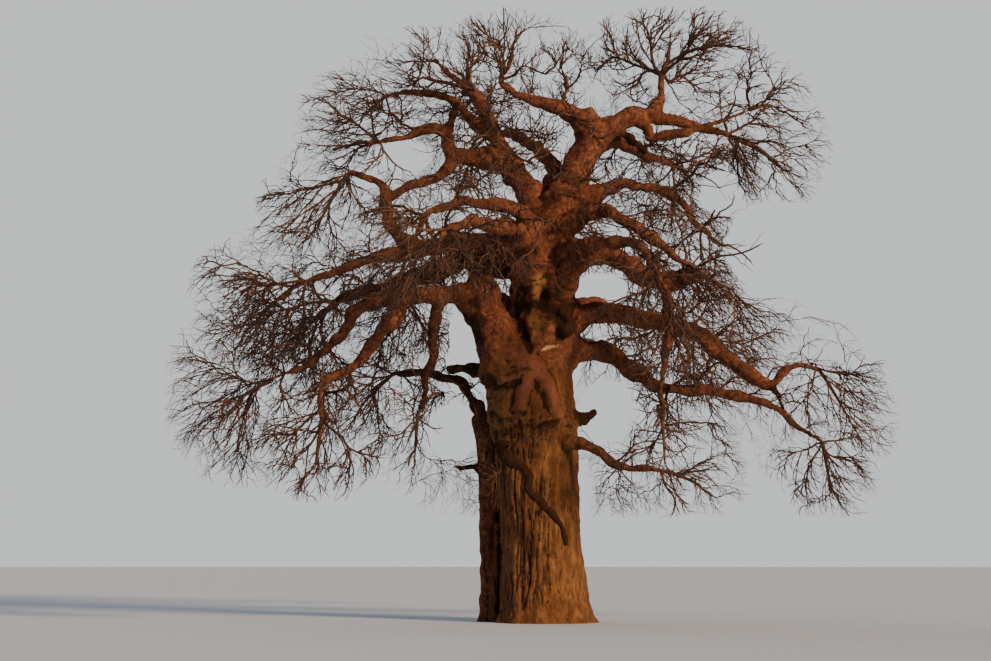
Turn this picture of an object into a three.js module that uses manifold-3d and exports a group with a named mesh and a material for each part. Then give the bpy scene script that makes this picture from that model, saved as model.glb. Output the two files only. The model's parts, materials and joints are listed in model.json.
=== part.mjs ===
// A leafless baobab: a swollen trunk that forks low, heavy limbs that sag and crook, and sprays
// of bare twigs at their ends. Lengths in the tables are metres, and the solids are millimetres.
// +Z is up and the origin is the middle of the flat cut at ground level.
import * as THREE from "three";
import { mergeVertices } from "three/addons/utils/BufferGeometryUtils.js";
import Module from "manifold-3d";

const wasm = await Module();
wasm.setup();
const { Manifold, Mesh } = wasm;

// Driving dimensions
const MM = 1000;
const CLEAR = 0.0004; // metres between two touching solids
// Where the tree is seen from: the eye's place, its tilt upwards in degrees, and the height at
// which its line of sight is read on the trunk.
const EYE = { side: -1.16, height: 1.78, away: 50, tilt: 7.7, centre: 8.57 };

// What stands on the ground, as level rings: height, left edge, right edge, depth of the middle.
// A fold is a bearing in degrees, how far it stands out of a radius of one, its width in degrees
// and how much further it stands out at the ground.
const STANDING = {
  trunk: {
    sides: 28,
    rings: [
      [0, -1.2, 1.86, 0],
      [0.25, -1.12, 1.7, 0],
      [0.9, -1.04, 1.5, 0],
      [2, -1.0, 1.38, 0],
      [3.6, -1.02, 1.3, 0],
      [4.9, -1.2, 1.28, 0],
      [5.9, -1.42, 1.24, 0],
      [6.8, -1.42, 1.15, 0],
      [7.5, -1.38, 1.13, 0],
      [8.0, -1.05, 1.0, 0],
      [8.35, -0.6, 0.75, 0],
    ],
    folds: [
      { bearing: 200, out: 0.07, width: 16, foot: 0.1 },
      { bearing: 232, out: 0.06, width: 14, foot: 0.12 },
      { bearing: 263, out: 0.05, width: 14, foot: 0.1 },
      { bearing: 315, out: 0.04, width: 24, foot: 0.14 },
      { bearing: 0, out: 0.03, width: 20, foot: 0.16 },
      { bearing: 48, out: 0.08, width: 18, foot: 0.18 },
      { bearing: 100, out: 0.07, width: 22, foot: 0.14 },
    ],
  },
  back_stem: {
    sides: 12,
    rings: [
      [0, -1.72, -0.7, 0.7],
      [0.3, -1.66, -0.7, 0.7],
      [1.8, -1.62, -0.7, 0.7],
      [3.8, -1.64, -0.78, 0.74],
      [5.2, -1.76, -1.0, 0.85],
      [6.0, -1.9, -1.25, 1.0],
    ],
    folds: [
      { bearing: 120, out: 0.12, width: 30, foot: 0.1 },
      { bearing: 210, out: 0.1, width: 30, foot: 0.1 },
    ],
  },
};
const FOOT_HEIGHT = 0.6; // height at which the root flare has shrunk to a third
const ROUND = 0.97; // depth of a standing stem over its width
const STOUT = 1.15; // radius in which no twig grows, over a standing stem's half width

// The limbs: what each springs from and how far along it, its radius spread evenly from root to
// tip, its number of sides, and its route after the root as [side, height, depth].
const LIMBS = {
  left_stem: {
    from: "trunk", at: 0.83, sides: 12, thick: [0.72, 0.66, 0.62, 0.52],
    route: [[-0.8, 7.3, -0.35], [-1.12, 8.2, -0.4], [-1.4, 9.0, -0.35], [-1.62, 9.75, -0.3]],
  },
  main_stem: {
    from: "trunk", at: 0.8, sides: 14, thick: [1.0, 0.88, 0.94, 0.92, 0.7, 0.47, 0.44, 0.42],
    route: [
      [0.36, 8.2, 0], [0.32, 9.4, 0], [0.3, 10.6, 0], [0.6, 11.7, 0], [1.0, 12.7, 0],
      [1.4, 13.6, 0], [1.82, 14.4, 0],
    ],
  },
  bough_left_main: {
    from: "left_stem", at: 0.86, sides: 10, thick: [0.4, 0.3, 0.25, 0.25, 0.24],
    route: [[-2.35, 9.6, -0.5], [-3.1, 9.52, -0.8], [-4.0, 9.55, -1.2], [-4.7, 9.45, -1.5]],
  },
  bough_left_fall: {
    from: "bough_left_main", at: 0.8, sides: 8, thick: [0.24, 0.22, 0.18, 0.14],
    route: [[-4.35, 8.85, -1.7], [-4.75, 8.25, -1.8], [-5.4, 7.45, -2.2], [-6.0, 7.2, -2.4]],
  },
  bough_left_outer: {
    from: "bough_left_main", at: 0.97, sides: 7, thick: [0.2, 0.17, 0.13, 0.09],
    route: [[-5.2, 9.1, -1.2], [-5.8, 8.35, -1.3], [-6.6, 7.6, -1.7], [-7.2, 7.35, -1.9]],
  },
  bough_left_hanger: {
    from: "bough_left_main", at: 0.42, sides: 6, thick: [0.17, 0.15, 0.13, 0.07],
    route: [[-2.92, 8.8, -0.8], [-3.02, 8.0, -0.8], [-3.2, 7.0, -0.7], [-3.4, 6.2, -0.7]],
  },
  bough_left_long: {
    from: "main_stem", at: 0.46, sides: 9, thick: [0.44, 0.36, 0.3, 0.24, 0.18, 0.12],
    route: [
      [-1.0, 11.15, 0.2], [-2.0, 11.2, 0.3], [-3.0, 11.0, 0.4], [-4.3, 10.8, 0.5],
      [-5.5, 10.4, 0.5], [-6.5, 10.1, 0.5],
    ],
  },
  bough_left_riser: {
    from: "bough_left_long", at: 0.56, sides: 7, thick: [0.25, 0.2, 0.17, 0.1],
    route: [[-4.2, 11.5, 0.35], [-4.32, 12.3, 0.25], [-4.5, 12.8, 0.2], [-5.3, 13.2, 0.3]],
  },
  bough_left_back: {
    from: "main_stem", at: 0.38, sides: 9, thick: [0.45, 0.36, 0.28, 0.15],
    route: [[-1.7, 10.65, 1.5], [-2.8, 10.35, 2.6], [-4.2, 9.9, 4.0], [-5.7, 9.5, 5.2]],
  },
  bough_left_front: {
    from: "main_stem", at: 0.58, sides: 8, thick: [0.32, 0.26, 0.2, 0.13],
    route: [[-0.45, 12.05, -1.1], [-1.35, 12.3, -1.9], [-2.3, 12.4, -2.7], [-3.0, 12.1, -3.4]],
  },
  bough_left_under: {
    from: "back_stem", at: 0.96, sides: 7, thick: [0.21, 0.16, 0.13, 0.09],
    route: [[-1.8, 6.4, 1.2], [-2.15, 7.0, 1.5], [-2.9, 7.25, 2.1], [-4.0, 7.3, 3.0]],
  },
  leader_left: {
    from: "main_stem", at: 0.55, sides: 10, thick: [0.54, 0.46, 0.34, 0.25, 0.2],
    route: [[-0.1, 12.55, 0.5], [-0.65, 13.35, 0.65], [-1.12, 14.2, 0.8], [-1.5, 15.1, 0.9]],
  },
  bough_left_crook: {
    from: "leader_left", at: 0.52, sides: 8, thick: [0.36, 0.3, 0.26, 0.2, 0.15, 0.11],
    route: [
      [-1.65, 13.7, 0.4], [-2.3, 13.8, 0.1], [-2.65, 14.35, 0], [-3.1, 14.55, -0.1],
      [-3.8, 14.3, -0.1], [-4.4, 14.15, 0],
    ],
  },
  bough_high_left: {
    from: "leader_left", at: 0.8, sides: 6, thick: [0.2, 0.16, 0.13, 0.08],
    route: [[-2.0, 14.95, 1.1], [-2.6, 15.45, 1.1], [-3.4, 15.6, 1.3], [-4.2, 15.5, 1.5]],
  },
  bough_top_left: {
    from: "main_stem", at: 0.98, sides: 8, thick: [0.34, 0.27, 0.22, 0.18, 0.12],
    route: [
      [1.0, 14.97, -0.2], [0.15, 15.35, -0.5], [-0.4, 15.5, -0.7], [-0.85, 15.75, -0.8],
    ],
  },
  bough_top_right: {
    from: "main_stem", at: 0.97, sides: 9, thick: [0.4, 0.3, 0.25, 0.2, 0.16, 0.12],
    route: [
      [2.65, 14.82, 0.1], [3.55, 14.8, 0.3], [4.6, 14.6, 0.5], [5.4, 14.4, 0.6],
    ],
  },
  bough_top_riser: {
    from: "bough_top_right", at: 0.4, sides: 7, thick: [0.21, 0.17, 0.14],
    route: [[3.62, 15.4, 0.35], [3.7, 15.8, 0.4]],
  },
  bough_right_high: {
    from: "main_stem", at: 0.72, sides: 7, thick: [0.27, 0.23, 0.19, 0.16, 0.11],
    route: [[2.0, 12.78, 0.5], [2.75, 12.9, 0.9], [3.6, 12.75, 1.4], [4.4, 12.25, 1.7], [4.75, 11.65, 1.8]],
  },
  bough_right_arch: {
    from: "main_stem", at: 0.55, sides: 8, thick: [0.32, 0.26, 0.21, 0.17, 0.11],
    route: [
      [1.5, 12.0, -0.9], [2.1, 12.1, -1.3], [2.6, 11.78, -1.7], [3.6, 11.25, -2.2],
      [4.15, 10.7, -2.5],
    ],
  },
  bough_right_elbow: {
    from: "main_stem", at: 0.5, sides: 7, thick: [0.26, 0.21, 0.18, 0.12],
    route: [[1.75, 11.15, -1.9], [2.7, 11.2, -3.0], [3.2, 10.9, -4.0], [3.5, 10.35, -4.9]],
  },
  bough_right_knot: {
    from: "main_stem", at: 0.36, sides: 9, thick: [0.4, 0.33, 0.31, 0.3, 0.28],
    route: [
      [1.4, 10.55, -1.1], [2.1, 10.7, -1.4], [2.6, 10.4, -1.8], [3.15, 10.05, -2.2],
      [4.25, 10.05, -2.8],
    ],
  },
  bough_right_hanger: {
    from: "bough_right_knot", at: 0.92, sides: 6, thick: [0.18, 0.15, 0.12, 0.07],
    route: [[4.03, 9.3, -3.2], [3.93, 8.5, -3.3], [3.76, 7.2, -3.3], [3.76, 5.95, -3.1]],
  },
  bough_right_long: {
    from: "main_stem", at: 0.2, sides: 10, thick: [0.46, 0.34, 0.3, 0.27, 0.24, 0.2],
    route: [
      [1.9, 9.06, -0.5], [3.15, 8.94, -0.8], [3.9, 8.8, -1.0], [4.7, 8.44, -1.2],
      [5.45, 7.94, -1.4], [6.1, 7.47, -1.5], [6.55, 7.1, -1.6],
    ],
  },
  bough_right_tip: {
    from: "bough_right_long", at: 0.97, sides: 6, thick: [0.16, 0.14, 0.11, 0.07],
    route: [[7.0, 6.94, -1.7], [7.25, 7.3, -1.8], [7.6, 7.52, -1.9], [8.1, 7.5, -2.0]],
  },
  bough_right_low: {
    from: "trunk", at: 0.88, sides: 9, thick: [0.42, 0.33, 0.27, 0.2, 0.16, 0.13, 0.08],
    route: [
      [1.7, 8.05, 0.5], [2.3, 7.9, 0.7], [3.15, 7.26, 0.8], [3.8, 6.87, 0.8], [5.2, 6.85, 0.6],
      [6.5, 6.5, 0.4], [7.15, 6.26, 0.3], [7.65, 5.8, 0.2], [8.3, 5.4, 0.1],
    ],
  },
  bough_right_bottom: {
    from: "trunk", at: 0.68, sides: 7, thick: [0.28, 0.21, 0.16, 0.09],
    route: [[1.62, 5.15, -1.3], [2.1, 4.76, -1.6], [2.75, 4.56, -1.9], [3.5, 4.5, -2.3]],
  },
  bough_front_hanger: {
    from: "trunk", at: 0.62, sides: 6, thick: [0.24, 0.22, 0.2, 0.17, 0.13, 0.08],
    route: [
      [-0.78, 5.0, -1.5], [-0.2, 4.1, -1.8], [0.36, 3.42, -1.95], [0.78, 2.85, -2.05],
      [0.9, 2.3, -2.1],
    ],
  },
  bough_front_left: {
    from: "main_stem", at: 0.52, sides: 8, thick: [0.32, 0.26, 0.2, 0.12],
    route: [[-0.8, 11.55, -1.9], [-1.7, 11.75, -3.6], [-2.5, 11.6, -5.2]],
  },
  bough_back_left: {
    from: "main_stem", at: 0.74, sides: 7, thick: [0.3, 0.25, 0.18, 0.1],
    route: [[0.35, 13.7, 2.0], [-0.6, 14.3, 4.0], [-1.3, 14.4, 5.8]],
  },
  bough_back_right: {
    from: "main_stem", at: 0.92, sides: 7, thick: [0.28, 0.24, 0.17, 0.1],
    route: [[2.35, 14.2, 1.7], [3.15, 13.8, 3.6], [4.0, 13.5, 5.6]],
  },
  bough_back_low_right: {
    from: "main_stem", at: 0.24, sides: 8, thick: [0.4, 0.32, 0.22, 0.12],
    route: [[1.7, 9.1, 2.2], [3.0, 8.95, 4.4], [4.4, 8.6, 6.2]],
  },
  bough_back_low_left: {
    from: "main_stem", at: 0.22, sides: 8, thick: [0.4, 0.32, 0.22, 0.12],
    route: [[-1.3, 9.4, 2.2], [-2.4, 9.55, 4.2], [-3.6, 9.45, 6.0]],
  },
};

// Arms, in the same form. Each is one solid with the limb that it springs from.
const ARMS = {
  arm_left_cross: {
    from: "bough_left_crook", at: 0.42, sides: 6, thick: [0.2, 0.18, 0.16, 0.14],
    route: [[-2.9, 13.15, 0.1], [-3.6, 12.85, 0.15], [-4.2, 12.5, 0.2]],
  },
  arm_right_crook: {
    from: "bough_top_right", at: 0.4, sides: 6, thick: [0.17, 0.16, 0.14, 0.11, 0.08, 0.06],
    route: [
      [3.35, 14.22, -0.1], [3.85, 14.32, -0.3], [4.6, 14.45, -0.45], [5.5, 14.75, -0.4],
      [6.3, 15.05, -0.2],
    ],
  },
};
const ARM_SEED = 40; // the arms of a limb take their roughness this far from the limb's own

// The sprays of twigs: the limb whose tip each continues, the heart of the space that it keeps to,
// the half width and half height of that space, and how strongly its twigs hang.
const SPRAYS = {
  twigs_top_left: { on: "bough_top_left", heart: [-0.7, 16.6, -1.3], room: [2.3, 1.35], hang: -0.1 },
  twigs_leader_left: { on: "leader_left", heart: [-2.5, 16.1, 1.2], room: [2.3, 1.6], hang: 0 },
  twigs_high_left: { on: "bough_high_left", heart: [-4.9, 15.0, 1.8], room: [2.2, 1.6], hang: 0.1 },
  twigs_left_crook: { on: "bough_left_crook", heart: [-5.2, 14.1, -0.6], room: [2.0, 1.8], hang: 0.2 },
  twigs_left_riser: { on: "bough_left_riser", heart: [-6.1, 12.2, 0.8], room: [2.2, 1.8], hang: 0.4 },
  twigs_left_front: { on: "bough_left_front", heart: [-3.7, 10.9, -3.9], room: [2.0, 2.1], hang: 0.5 },
  twigs_left_long: { on: "bough_left_long", heart: [-7.8, 9.3, 0.6], room: [2.6, 2.4], hang: 0.5 },
  twigs_left_outer: { on: "bough_left_outer", heart: [-8.5, 6.7, -2.0], room: [2.6, 2.7], hang: 0.6 },
  twigs_left_fall: { on: "bough_left_fall", heart: [-6.3, 5.7, -2.9], room: [2.1, 2.1], hang: 0.6 },
  twigs_left_back: { on: "bough_left_back", heart: [-6.7, 8.6, 5.6], room: [2.6, 2.5], hang: 0.5 },
  twigs_left_hanger: { on: "bough_left_hanger", heart: [-3.5, 5.3, -0.8], room: [1.4, 1.7], hang: 0.3 },
  twigs_left_under: { on: "bough_left_under", heart: [-4.9, 6.6, 3.6], room: [2.1, 1.9], hang: 0.4 },
  twigs_front_left: { on: "bough_front_left", heart: [-2.8, 11.2, -6.5], room: [2.2, 2.0], hang: 0.4 },
  twigs_top_right: { on: "bough_top_right", heart: [6.6, 13.9, 0.8], room: [2.2, 2.3], hang: 0.4 },
  twigs_top_riser: { on: "bough_top_riser", heart: [3.9, 16.6, 0.5], room: [3.0, 1.4], hang: -0.1 },
  twigs_right_high: { on: "bough_right_high", heart: [5.1, 11.5, 2.6], room: [2.1, 2.1], hang: 0.5 },
  twigs_right_arch: { on: "bough_right_arch", heart: [5.3, 10.0, -2.4], room: [2.1, 2.2], hang: 0.5 },
  twigs_right_elbow: { on: "bough_right_elbow", heart: [3.9, 9.6, -5.8], room: [2.0, 2.2], hang: 0.5 },
  twigs_right_hanger: { on: "bough_right_hanger", heart: [3.8, 5.2, -3.2], room: [1.4, 1.5], hang: 0.4 },
  twigs_right_tip: { on: "bough_right_tip", heart: [9.0, 6.4, -2.0], room: [2.0, 1.9], hang: 0.4 },
  twigs_right_low: { on: "bough_right_low", heart: [8.6, 4.5, 0.4], room: [1.9, 1.6], hang: 0.4 },
  twigs_right_bottom: { on: "bough_right_bottom", heart: [4.5, 4.2, -2.6], room: [1.8, 1.4], hang: 0.2 },
  twigs_back_left: { on: "bough_back_left", heart: [-1.7, 14.2, 6.2], room: [2.6, 2.2], hang: 0.2 },
  twigs_back_right: { on: "bough_back_right", heart: [4.5, 13.1, 6.0], room: [2.6, 2.3], hang: 0.3 },
  twigs_back_low_right: { on: "bough_back_low_right", heart: [5.2, 8.1, 7.0], room: [2.6, 2.3], hang: 0.5 },
  twigs_back_low_left: { on: "bough_back_low_left", heart: [-4.2, 9.0, 7.0], room: [2.4, 2.2], hang: 0.5 },
};

// The rule of growth. A stem runs from its limb's tip through the heart of its space. Branches
// leave it for points spread evenly around that space, and each carries twigs on alternate sides.
// The stem: how thin it starts and ends, how far it runs straight on, how far it stays bare in
// tip radii, how far it runs past the heart, and how much its end drops.
const STEM = { steps: 4, sides: 4, thin: 0.92, tip: 0.35, lead: 0.15, bare: 1.7, past: 0.45, drop: 0.7 };
// A branch: how many to a metre of room, and the share of the room that they reach. It leaves the
// stem further back the more sideways it goes, and never past the last place.
const BRANCH = {
  steps: 3, sides: 3, thin: 0.52, tip: 0.3, crowd: 1.65, reach: 0.94, sink: 0.25, back: 0.6,
  last: 0.92, lift: 0.8, knee: 0.45, bow: 0.28, wander: 0.11,
};
// A twig: its place on the branch, its lean in degrees, and its length as a share of the branch's.
const TWIG = {
  count: 2, sides: 3, thin: 0.55, from: 0.3, place: 0.35, scatter: 0.2, lean: 48, lean_sway: 10,
  hang: 0.5, length: 0.42, longest: 1.2, shorter: 0.5,
};
const GOLDEN_TURN = 137.5;
const SHRINKS = [1, 0.8, 0.62, 0.46]; // lengths tried in turn until a twig fits its space
const ROOM_EDGE = 1.02; // how far out of its rounded space a twig may reach, as a square
const SPACE_GAP = 0.02; // metres kept from the next spray's space
const WOOD_GAP = 0.03; // metres kept from other wood
const TEST_STEP = 0.12; // metres between the points of a twig that are tested
const PIECE = 0.45; // longest piece of a limb that is tested as one capsule
const LIMB_STEP = 1.15; // metres between the rings of a limb
const LIMB_STEPS = 4; // fewest steps of a limb
const LIMB_ROUGH = 0.07; // how much the corners of a limb's rings stray, over its radius
const STEEP = 0.9; // a line that starts this upright is turned by the X axis, not by Z
const SEEDS = { spray: 7, turn: 99, twig: 50 };

const up = new THREE.Vector3(0, 0, 1);
const degrees = THREE.MathUtils.degToRad;

// A whole number from 0 to 2^32 that is always the same for the same seed and count.
function mix(seed, count) {
  let h = Math.imul(seed ^ Math.imul(count + 1, 0x9e3779b1), 0x85ebca6b) >>> 0;
  h = Math.imul(h ^ (h >>> 13), 0xc2b2ae35) >>> 0;
  return (h ^ (h >>> 16)) >>> 0;
}

// A number from -1 to 1, by the same rule.
const sway = (seed, count) => mix(seed, count) / 0x80000000 - 1;

// A point in metres from what an eye in front of the tree sees. Side and height are read on a
// plane square to the line of sight, and the point is carried along its own ray to its depth.
function seen([side, height, depth]) {
  const tilt = degrees(EYE.tilt);
  const rise = height - EYE.centre;
  const level = EYE.away * Math.cos(tilt) - rise * Math.sin(tilt);
  const climb = EYE.away * Math.sin(tilt) + rise * Math.cos(tilt);
  const share = (EYE.away + depth) / level;
  return new THREE.Vector3(EYE.side + (side - EYE.side) * share, depth, EYE.height + climb * share);
}

// Value at t from 0 to 1 in a list that is spread evenly over that stretch.
function spread(list, t) {
  const place = Math.min(Math.max(t, 0), 1) * (list.length - 1);
  const i = Math.min(Math.floor(place), list.length - 2);
  return THREE.MathUtils.lerp(list[i], list[i + 1], place - i);
}

// Closed solid through rings of points in metres. It ends flat, or in the point given.
function skin(rings, point) {
  const sides = rings[0].length;
  const points = rings.flat();
  const faces = [];
  for (let r = 0; r + 1 < rings.length; r++)
    for (let s = 0; s < sides; s++) {
      const [a, b] = [r * sides + s, r * sides + ((s + 1) % sides)];
      faces.push(a, b, b + sides, a, b + sides, a + sides);
    }
  for (let s = 1; s + 1 < sides; s++) faces.push(0, s + 1, s);
  const last = (rings.length - 1) * sides;
  if (point) {
    points.push(point);
    for (let s = 0; s < sides; s++) faces.push(last + s, last + ((s + 1) % sides), points.length - 1);
  } else for (let s = 1; s + 1 < sides; s++) faces.push(last, last + s, last + s + 1);
  const geometry = new THREE.BufferGeometry().setFromPoints(
    points.map((p) => p.clone().multiplyScalar(MM)),
  );
  geometry.setIndex(faces);
  const merged = mergeVertices(geometry);
  return new Manifold(
    new Mesh({
      numProp: 3,
      vertProperties: new Float32Array(merged.attributes.position.array),
      triVerts: new Uint32Array(merged.index.array),
    }),
  );
}

function geometryOf(solid) {
  const { vertProperties, triVerts } = solid.getMesh();
  const geometry = new THREE.BufferGeometry();
  geometry.setAttribute("position", new THREE.BufferAttribute(new Float32Array(vertProperties), 3));
  geometry.setIndex(new THREE.BufferAttribute(new Uint32Array(triVerts), 1));
  geometry.computeVertexNormals();
  return geometry;
}

// Rings square to a line of points, each ring turned as little as possible from the one before.
function ringsAlong(points, radii, sides, seed, rough) {
  const rings = [];
  let across = null;
  radii.forEach((radius, i) => {
    const before = points[Math.max(i - 1, 0)];
    const after = points[Math.min(i + 1, points.length - 1)];
    const ahead = after.clone().sub(before).normalize();
    if (!across) across = Math.abs(ahead.z) > STEEP ? new THREE.Vector3(1, 0, 0) : up.clone();
    across.addScaledVector(ahead, -across.dot(ahead)).normalize();
    const beside = ahead.clone().cross(across);
    const ring = [];
    for (let s = 0; s < sides; s++) {
      const turn = (2 * Math.PI * s) / sides;
      const out = radius * (1 + rough * sway(seed, i * sides + s));
      const place = points[i].clone().addScaledVector(across, out * Math.cos(turn));
      ring.push(place.addScaledVector(beside, out * Math.sin(turn)));
    }
    rings.push(ring);
  });
  return rings;
}

// Level ring of a standing stem: a circle with its folds, drawn out to its left and right edges.
function levelRing({ sides, folds }, [height, left, right, depth], grow) {
  const outline = Array.from({ length: sides }, (_, s) => {
    const bearing = (360 * s) / sides;
    let out = 1;
    for (const fold of folds) {
      const off = ((bearing - fold.bearing + 540) % 360) - 180;
      const stand = fold.out + fold.foot * Math.exp(-height / FOOT_HEIGHT);
      out += stand * Math.exp(-((off / fold.width) ** 2));
    }
    return [out * Math.cos(degrees(bearing)), out * Math.sin(degrees(bearing))];
  });
  const least = Math.min(...outline.map(([x]) => x));
  const most = Math.max(...outline.map(([x]) => x));
  const scale = (right - left + 2 * grow) / (most - least);
  return outline.map(
    ([x, y]) =>
      new THREE.Vector3(left - grow + (x - least) * scale, depth + ROUND * y * scale, height),
  );
}

function standingSolid(stem, grow) {
  const rings = stem.rings.map((ring) => levelRing(stem, ring, grow));
  rings.at(-1).forEach((point) => (point.z += grow));
  return skin(rings);
}

function standingLine({ rings }) {
  const middles = rings.map(
    ([height, left, right, depth]) => new THREE.Vector3((left + right) / 2, depth, height),
  );
  return new THREE.CatmullRomCurve3(middles, false, "centripetal");
}

const halfWidths = ({ rings }) => rings.map(([, left, right]) => (right - left) / 2);

// The line of a limb in metres, from inside what it springs from to its tip.
function limbLine(limb, lines) {
  const root = lines[limb.from].getPointAt(limb.at);
  return new THREE.CatmullRomCurve3([root, ...limb.route.map(seen)], false, "centripetal");
}

function limbPoints(line) {
  const steps = Math.max(LIMB_STEPS, Math.round(line.getLength() / LIMB_STEP));
  return Array.from({ length: steps + 1 }, (_, i) => line.getPointAt(i / steps));
}

// Solid of a limb. Its ends are drawn out by grow too, so that what it cuts stays clear of it.
function limbSolid(limb, line, seed, grow) {
  const points = limbPoints(line);
  const radii = points.map((_, i) => spread(limb.thick, i / (points.length - 1)) + grow);
  points.at(-1).addScaledVector(tipWay(points), grow);
  points[0].addScaledVector(points[1].clone().sub(points[0]).normalize(), -grow);
  return skin(ringsAlong(points, radii, limb.sides, seed, LIMB_ROUGH));
}

const tipWay = (points) => points.at(-1).clone().sub(points.at(-2)).normalize();

// Capsules along a line, which stand for the wood when a twig is tested for room.
function capsules(line, radiusAt) {
  const count = Math.ceil(line.getLength() / PIECE);
  return Array.from({ length: count }, (_, i) => ({
    line: new THREE.Line3(line.getPointAt(i / count), line.getPointAt((i + 1) / count)),
    radius: Math.max(radiusAt(i / count), radiusAt((i + 1) / count)),
  }));
}

const lines = {};
const solids = {};
const grown = [];
const wood = [];

for (const [name, stem] of Object.entries(STANDING)) {
  lines[name] = standingLine(stem);
  const halves = halfWidths(stem);
  wood.push(...capsules(lines[name], (t) => spread(halves, t) * STOUT));
}

// Each solid is cut clear of every one made before it, and its largest body is kept.
function keep(name, build) {
  const whole = build(0);
  const cut = grown.length ? whole.subtract(Manifold.union(grown)) : whole;
  solids[name] = cut.decompose().sort((a, b) => b.volume() - a.volume())[0];
  grown.push(build(CLEAR));
}

for (const [name, stem] of Object.entries(STANDING)) keep(name, (grow) => standingSolid(stem, grow));

Object.entries(LIMBS).forEach(([name, limb], seed) => {
  const arms = Object.entries(ARMS).filter(([, arm]) => arm.from === name);
  const members = [[name, limb], ...arms];
  for (const [member, shape] of members) {
    lines[member] = limbLine(shape, lines);
    wood.push(...capsules(lines[member], (t) => spread(shape.thick, t)));
  }
  const solidOf = ([member, shape], k, grow) =>
    limbSolid(shape, lines[member], seed + ARM_SEED * k, grow);
  keep(name, (grow) => Manifold.union(members.map((member, k) => solidOf(member, k, grow))));
});

const hearts = Object.fromEntries(
  Object.entries(SPRAYS).map(([name, spray]) => [name, seen(spray.heart)]),
);

// The stem of a spray: clear of its limb's tip and square to it, then through the heart and past.
function stemOf(name) {
  const { on, hang } = SPRAYS[name];
  const limb = limbPoints(lines[on]);
  const ahead = tipWay(limb);
  const start = limb.at(-1).addScaledVector(ahead, CLEAR);
  const lead = start.clone().addScaledVector(ahead, STEM.lead);
  const heart = hearts[name];
  const way = heart.clone().sub(start);
  const end = heart.clone().addScaledVector(way, STEM.past).addScaledVector(up, -hang * STEM.drop);
  const line = new THREE.CatmullRomCurve3([start, lead, heart, end], false, "centripetal");
  const tipRadius = LIMBS[on].thick.at(-1);
  const bare = (STEM.bare * tipRadius + 2 * WOOD_GAP) / line.getLength();
  return { line, lead, bare, radius: tipRadius * STEM.thin };
}

const stems = Object.fromEntries(Object.keys(SPRAYS).map((name) => [name, stemOf(name)]));

// True if these points lie in the spray's own space, which ends half way to the next one's heart.
function inSpace(name, points, radius) {
  const heart = hearts[name];
  const [wide, tall] = SPRAYS[name].room;
  return points.every((point) => {
    const off = point.clone().sub(heart);
    if ((off.x ** 2 + off.y ** 2) / wide ** 2 + off.z ** 2 / tall ** 2 > ROOM_EDGE) return false;
    const mine = point.distanceToSquared(heart);
    return Object.entries(hearts).every(([other, place]) => {
      if (other === name) return true;
      const past = (point.distanceToSquared(place) - mine) / (2 * place.distanceTo(heart));
      return past > radius + SPACE_GAP;
    });
  });
}

// True if the line of points comes too near other wood.
function touches(points, radius, blocked) {
  const near = new THREE.Vector3();
  for (let i = 0; i + 1 < points.length; i++) {
    const count = Math.ceil(points[i].distanceTo(points[i + 1]) / TEST_STEP);
    for (let k = 0; k <= count; k++) {
      const point = points[i].clone().lerp(points[i + 1], k / count);
      for (const capsule of blocked) {
        capsule.line.closestPointToPoint(point, true, near);
        if (near.distanceTo(point) < capsule.radius + radius + WOOD_GAP) return true;
      }
    }
  }
  return false;
}

// Points of a branch from its stem to a place, bowed towards the way that it sets out.
function branchPoints(start, way, place, steps, seed) {
  const length = start.distanceTo(place);
  const knee = start.clone().lerp(place, BRANCH.knee).addScaledVector(way, BRANCH.bow * length);
  const bow = new THREE.QuadraticBezierCurve3(start, knee, place);
  return Array.from({ length: steps + 1 }, (_, i) => {
    const point = bow.getPoint(i / steps);
    if (i > 0 && i < steps) {
      const stray = BRANCH.wander * length;
      point.x += stray * sway(seed, 3 * i);
      point.y += stray * sway(seed, 3 * i + 1);
      point.z += stray * sway(seed, 3 * i + 2);
    }
    return point;
  });
}

function taper(points, radius, tip) {
  return points.map((_, i) => radius * (1 - ((1 - tip) * i) / (points.length - 1)));
}

// Twigs on alternate sides of a branch, each one straight and pointed.
function twigsOn(name, points, radius, seed, blocked) {
  const line = new THREE.CatmullRomCurve3(points, false, "centripetal");
  const full = line.getLength() * TWIG.length;
  const made = [];
  for (let k = 0; k < TWIG.count; k++) {
    const own = mix(seed, SEEDS.twig + k);
    const rank = k + TWIG.place + TWIG.scatter * sway(own, 1);
    const t = TWIG.from + ((1 - TWIG.from) * rank) / TWIG.count;
    const start = line.getPointAt(t);
    const along = line.getTangentAt(t);
    const out = new THREE.Vector3(sway(own, 2), sway(own, 3), sway(own, 4));
    out.addScaledVector(along, -out.dot(along)).normalize();
    const lean = degrees(TWIG.lean + TWIG.lean_sway * sway(own, 5));
    const way = along.multiplyScalar(Math.cos(lean)).addScaledVector(out, Math.sin(lean));
    way.z -= TWIG.hang * SPRAYS[name].hang;
    way.normalize();
    const thick = radius * (1 - (1 - BRANCH.tip) * t) * TWIG.thin;
    for (const shrink of SHRINKS) {
      const length = full * shrink * (TWIG.longest - TWIG.shorter * t);
      const end = start.clone().addScaledVector(way, length);
      if (!inSpace(name, [start, end], thick)) continue;
      if (touches([start, end], thick, blocked)) continue;
      made.push(skin(ringsAlong([start, end], [thick], TWIG.sides, own, 0), end));
      break;
    }
  }
  return made;
}

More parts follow.
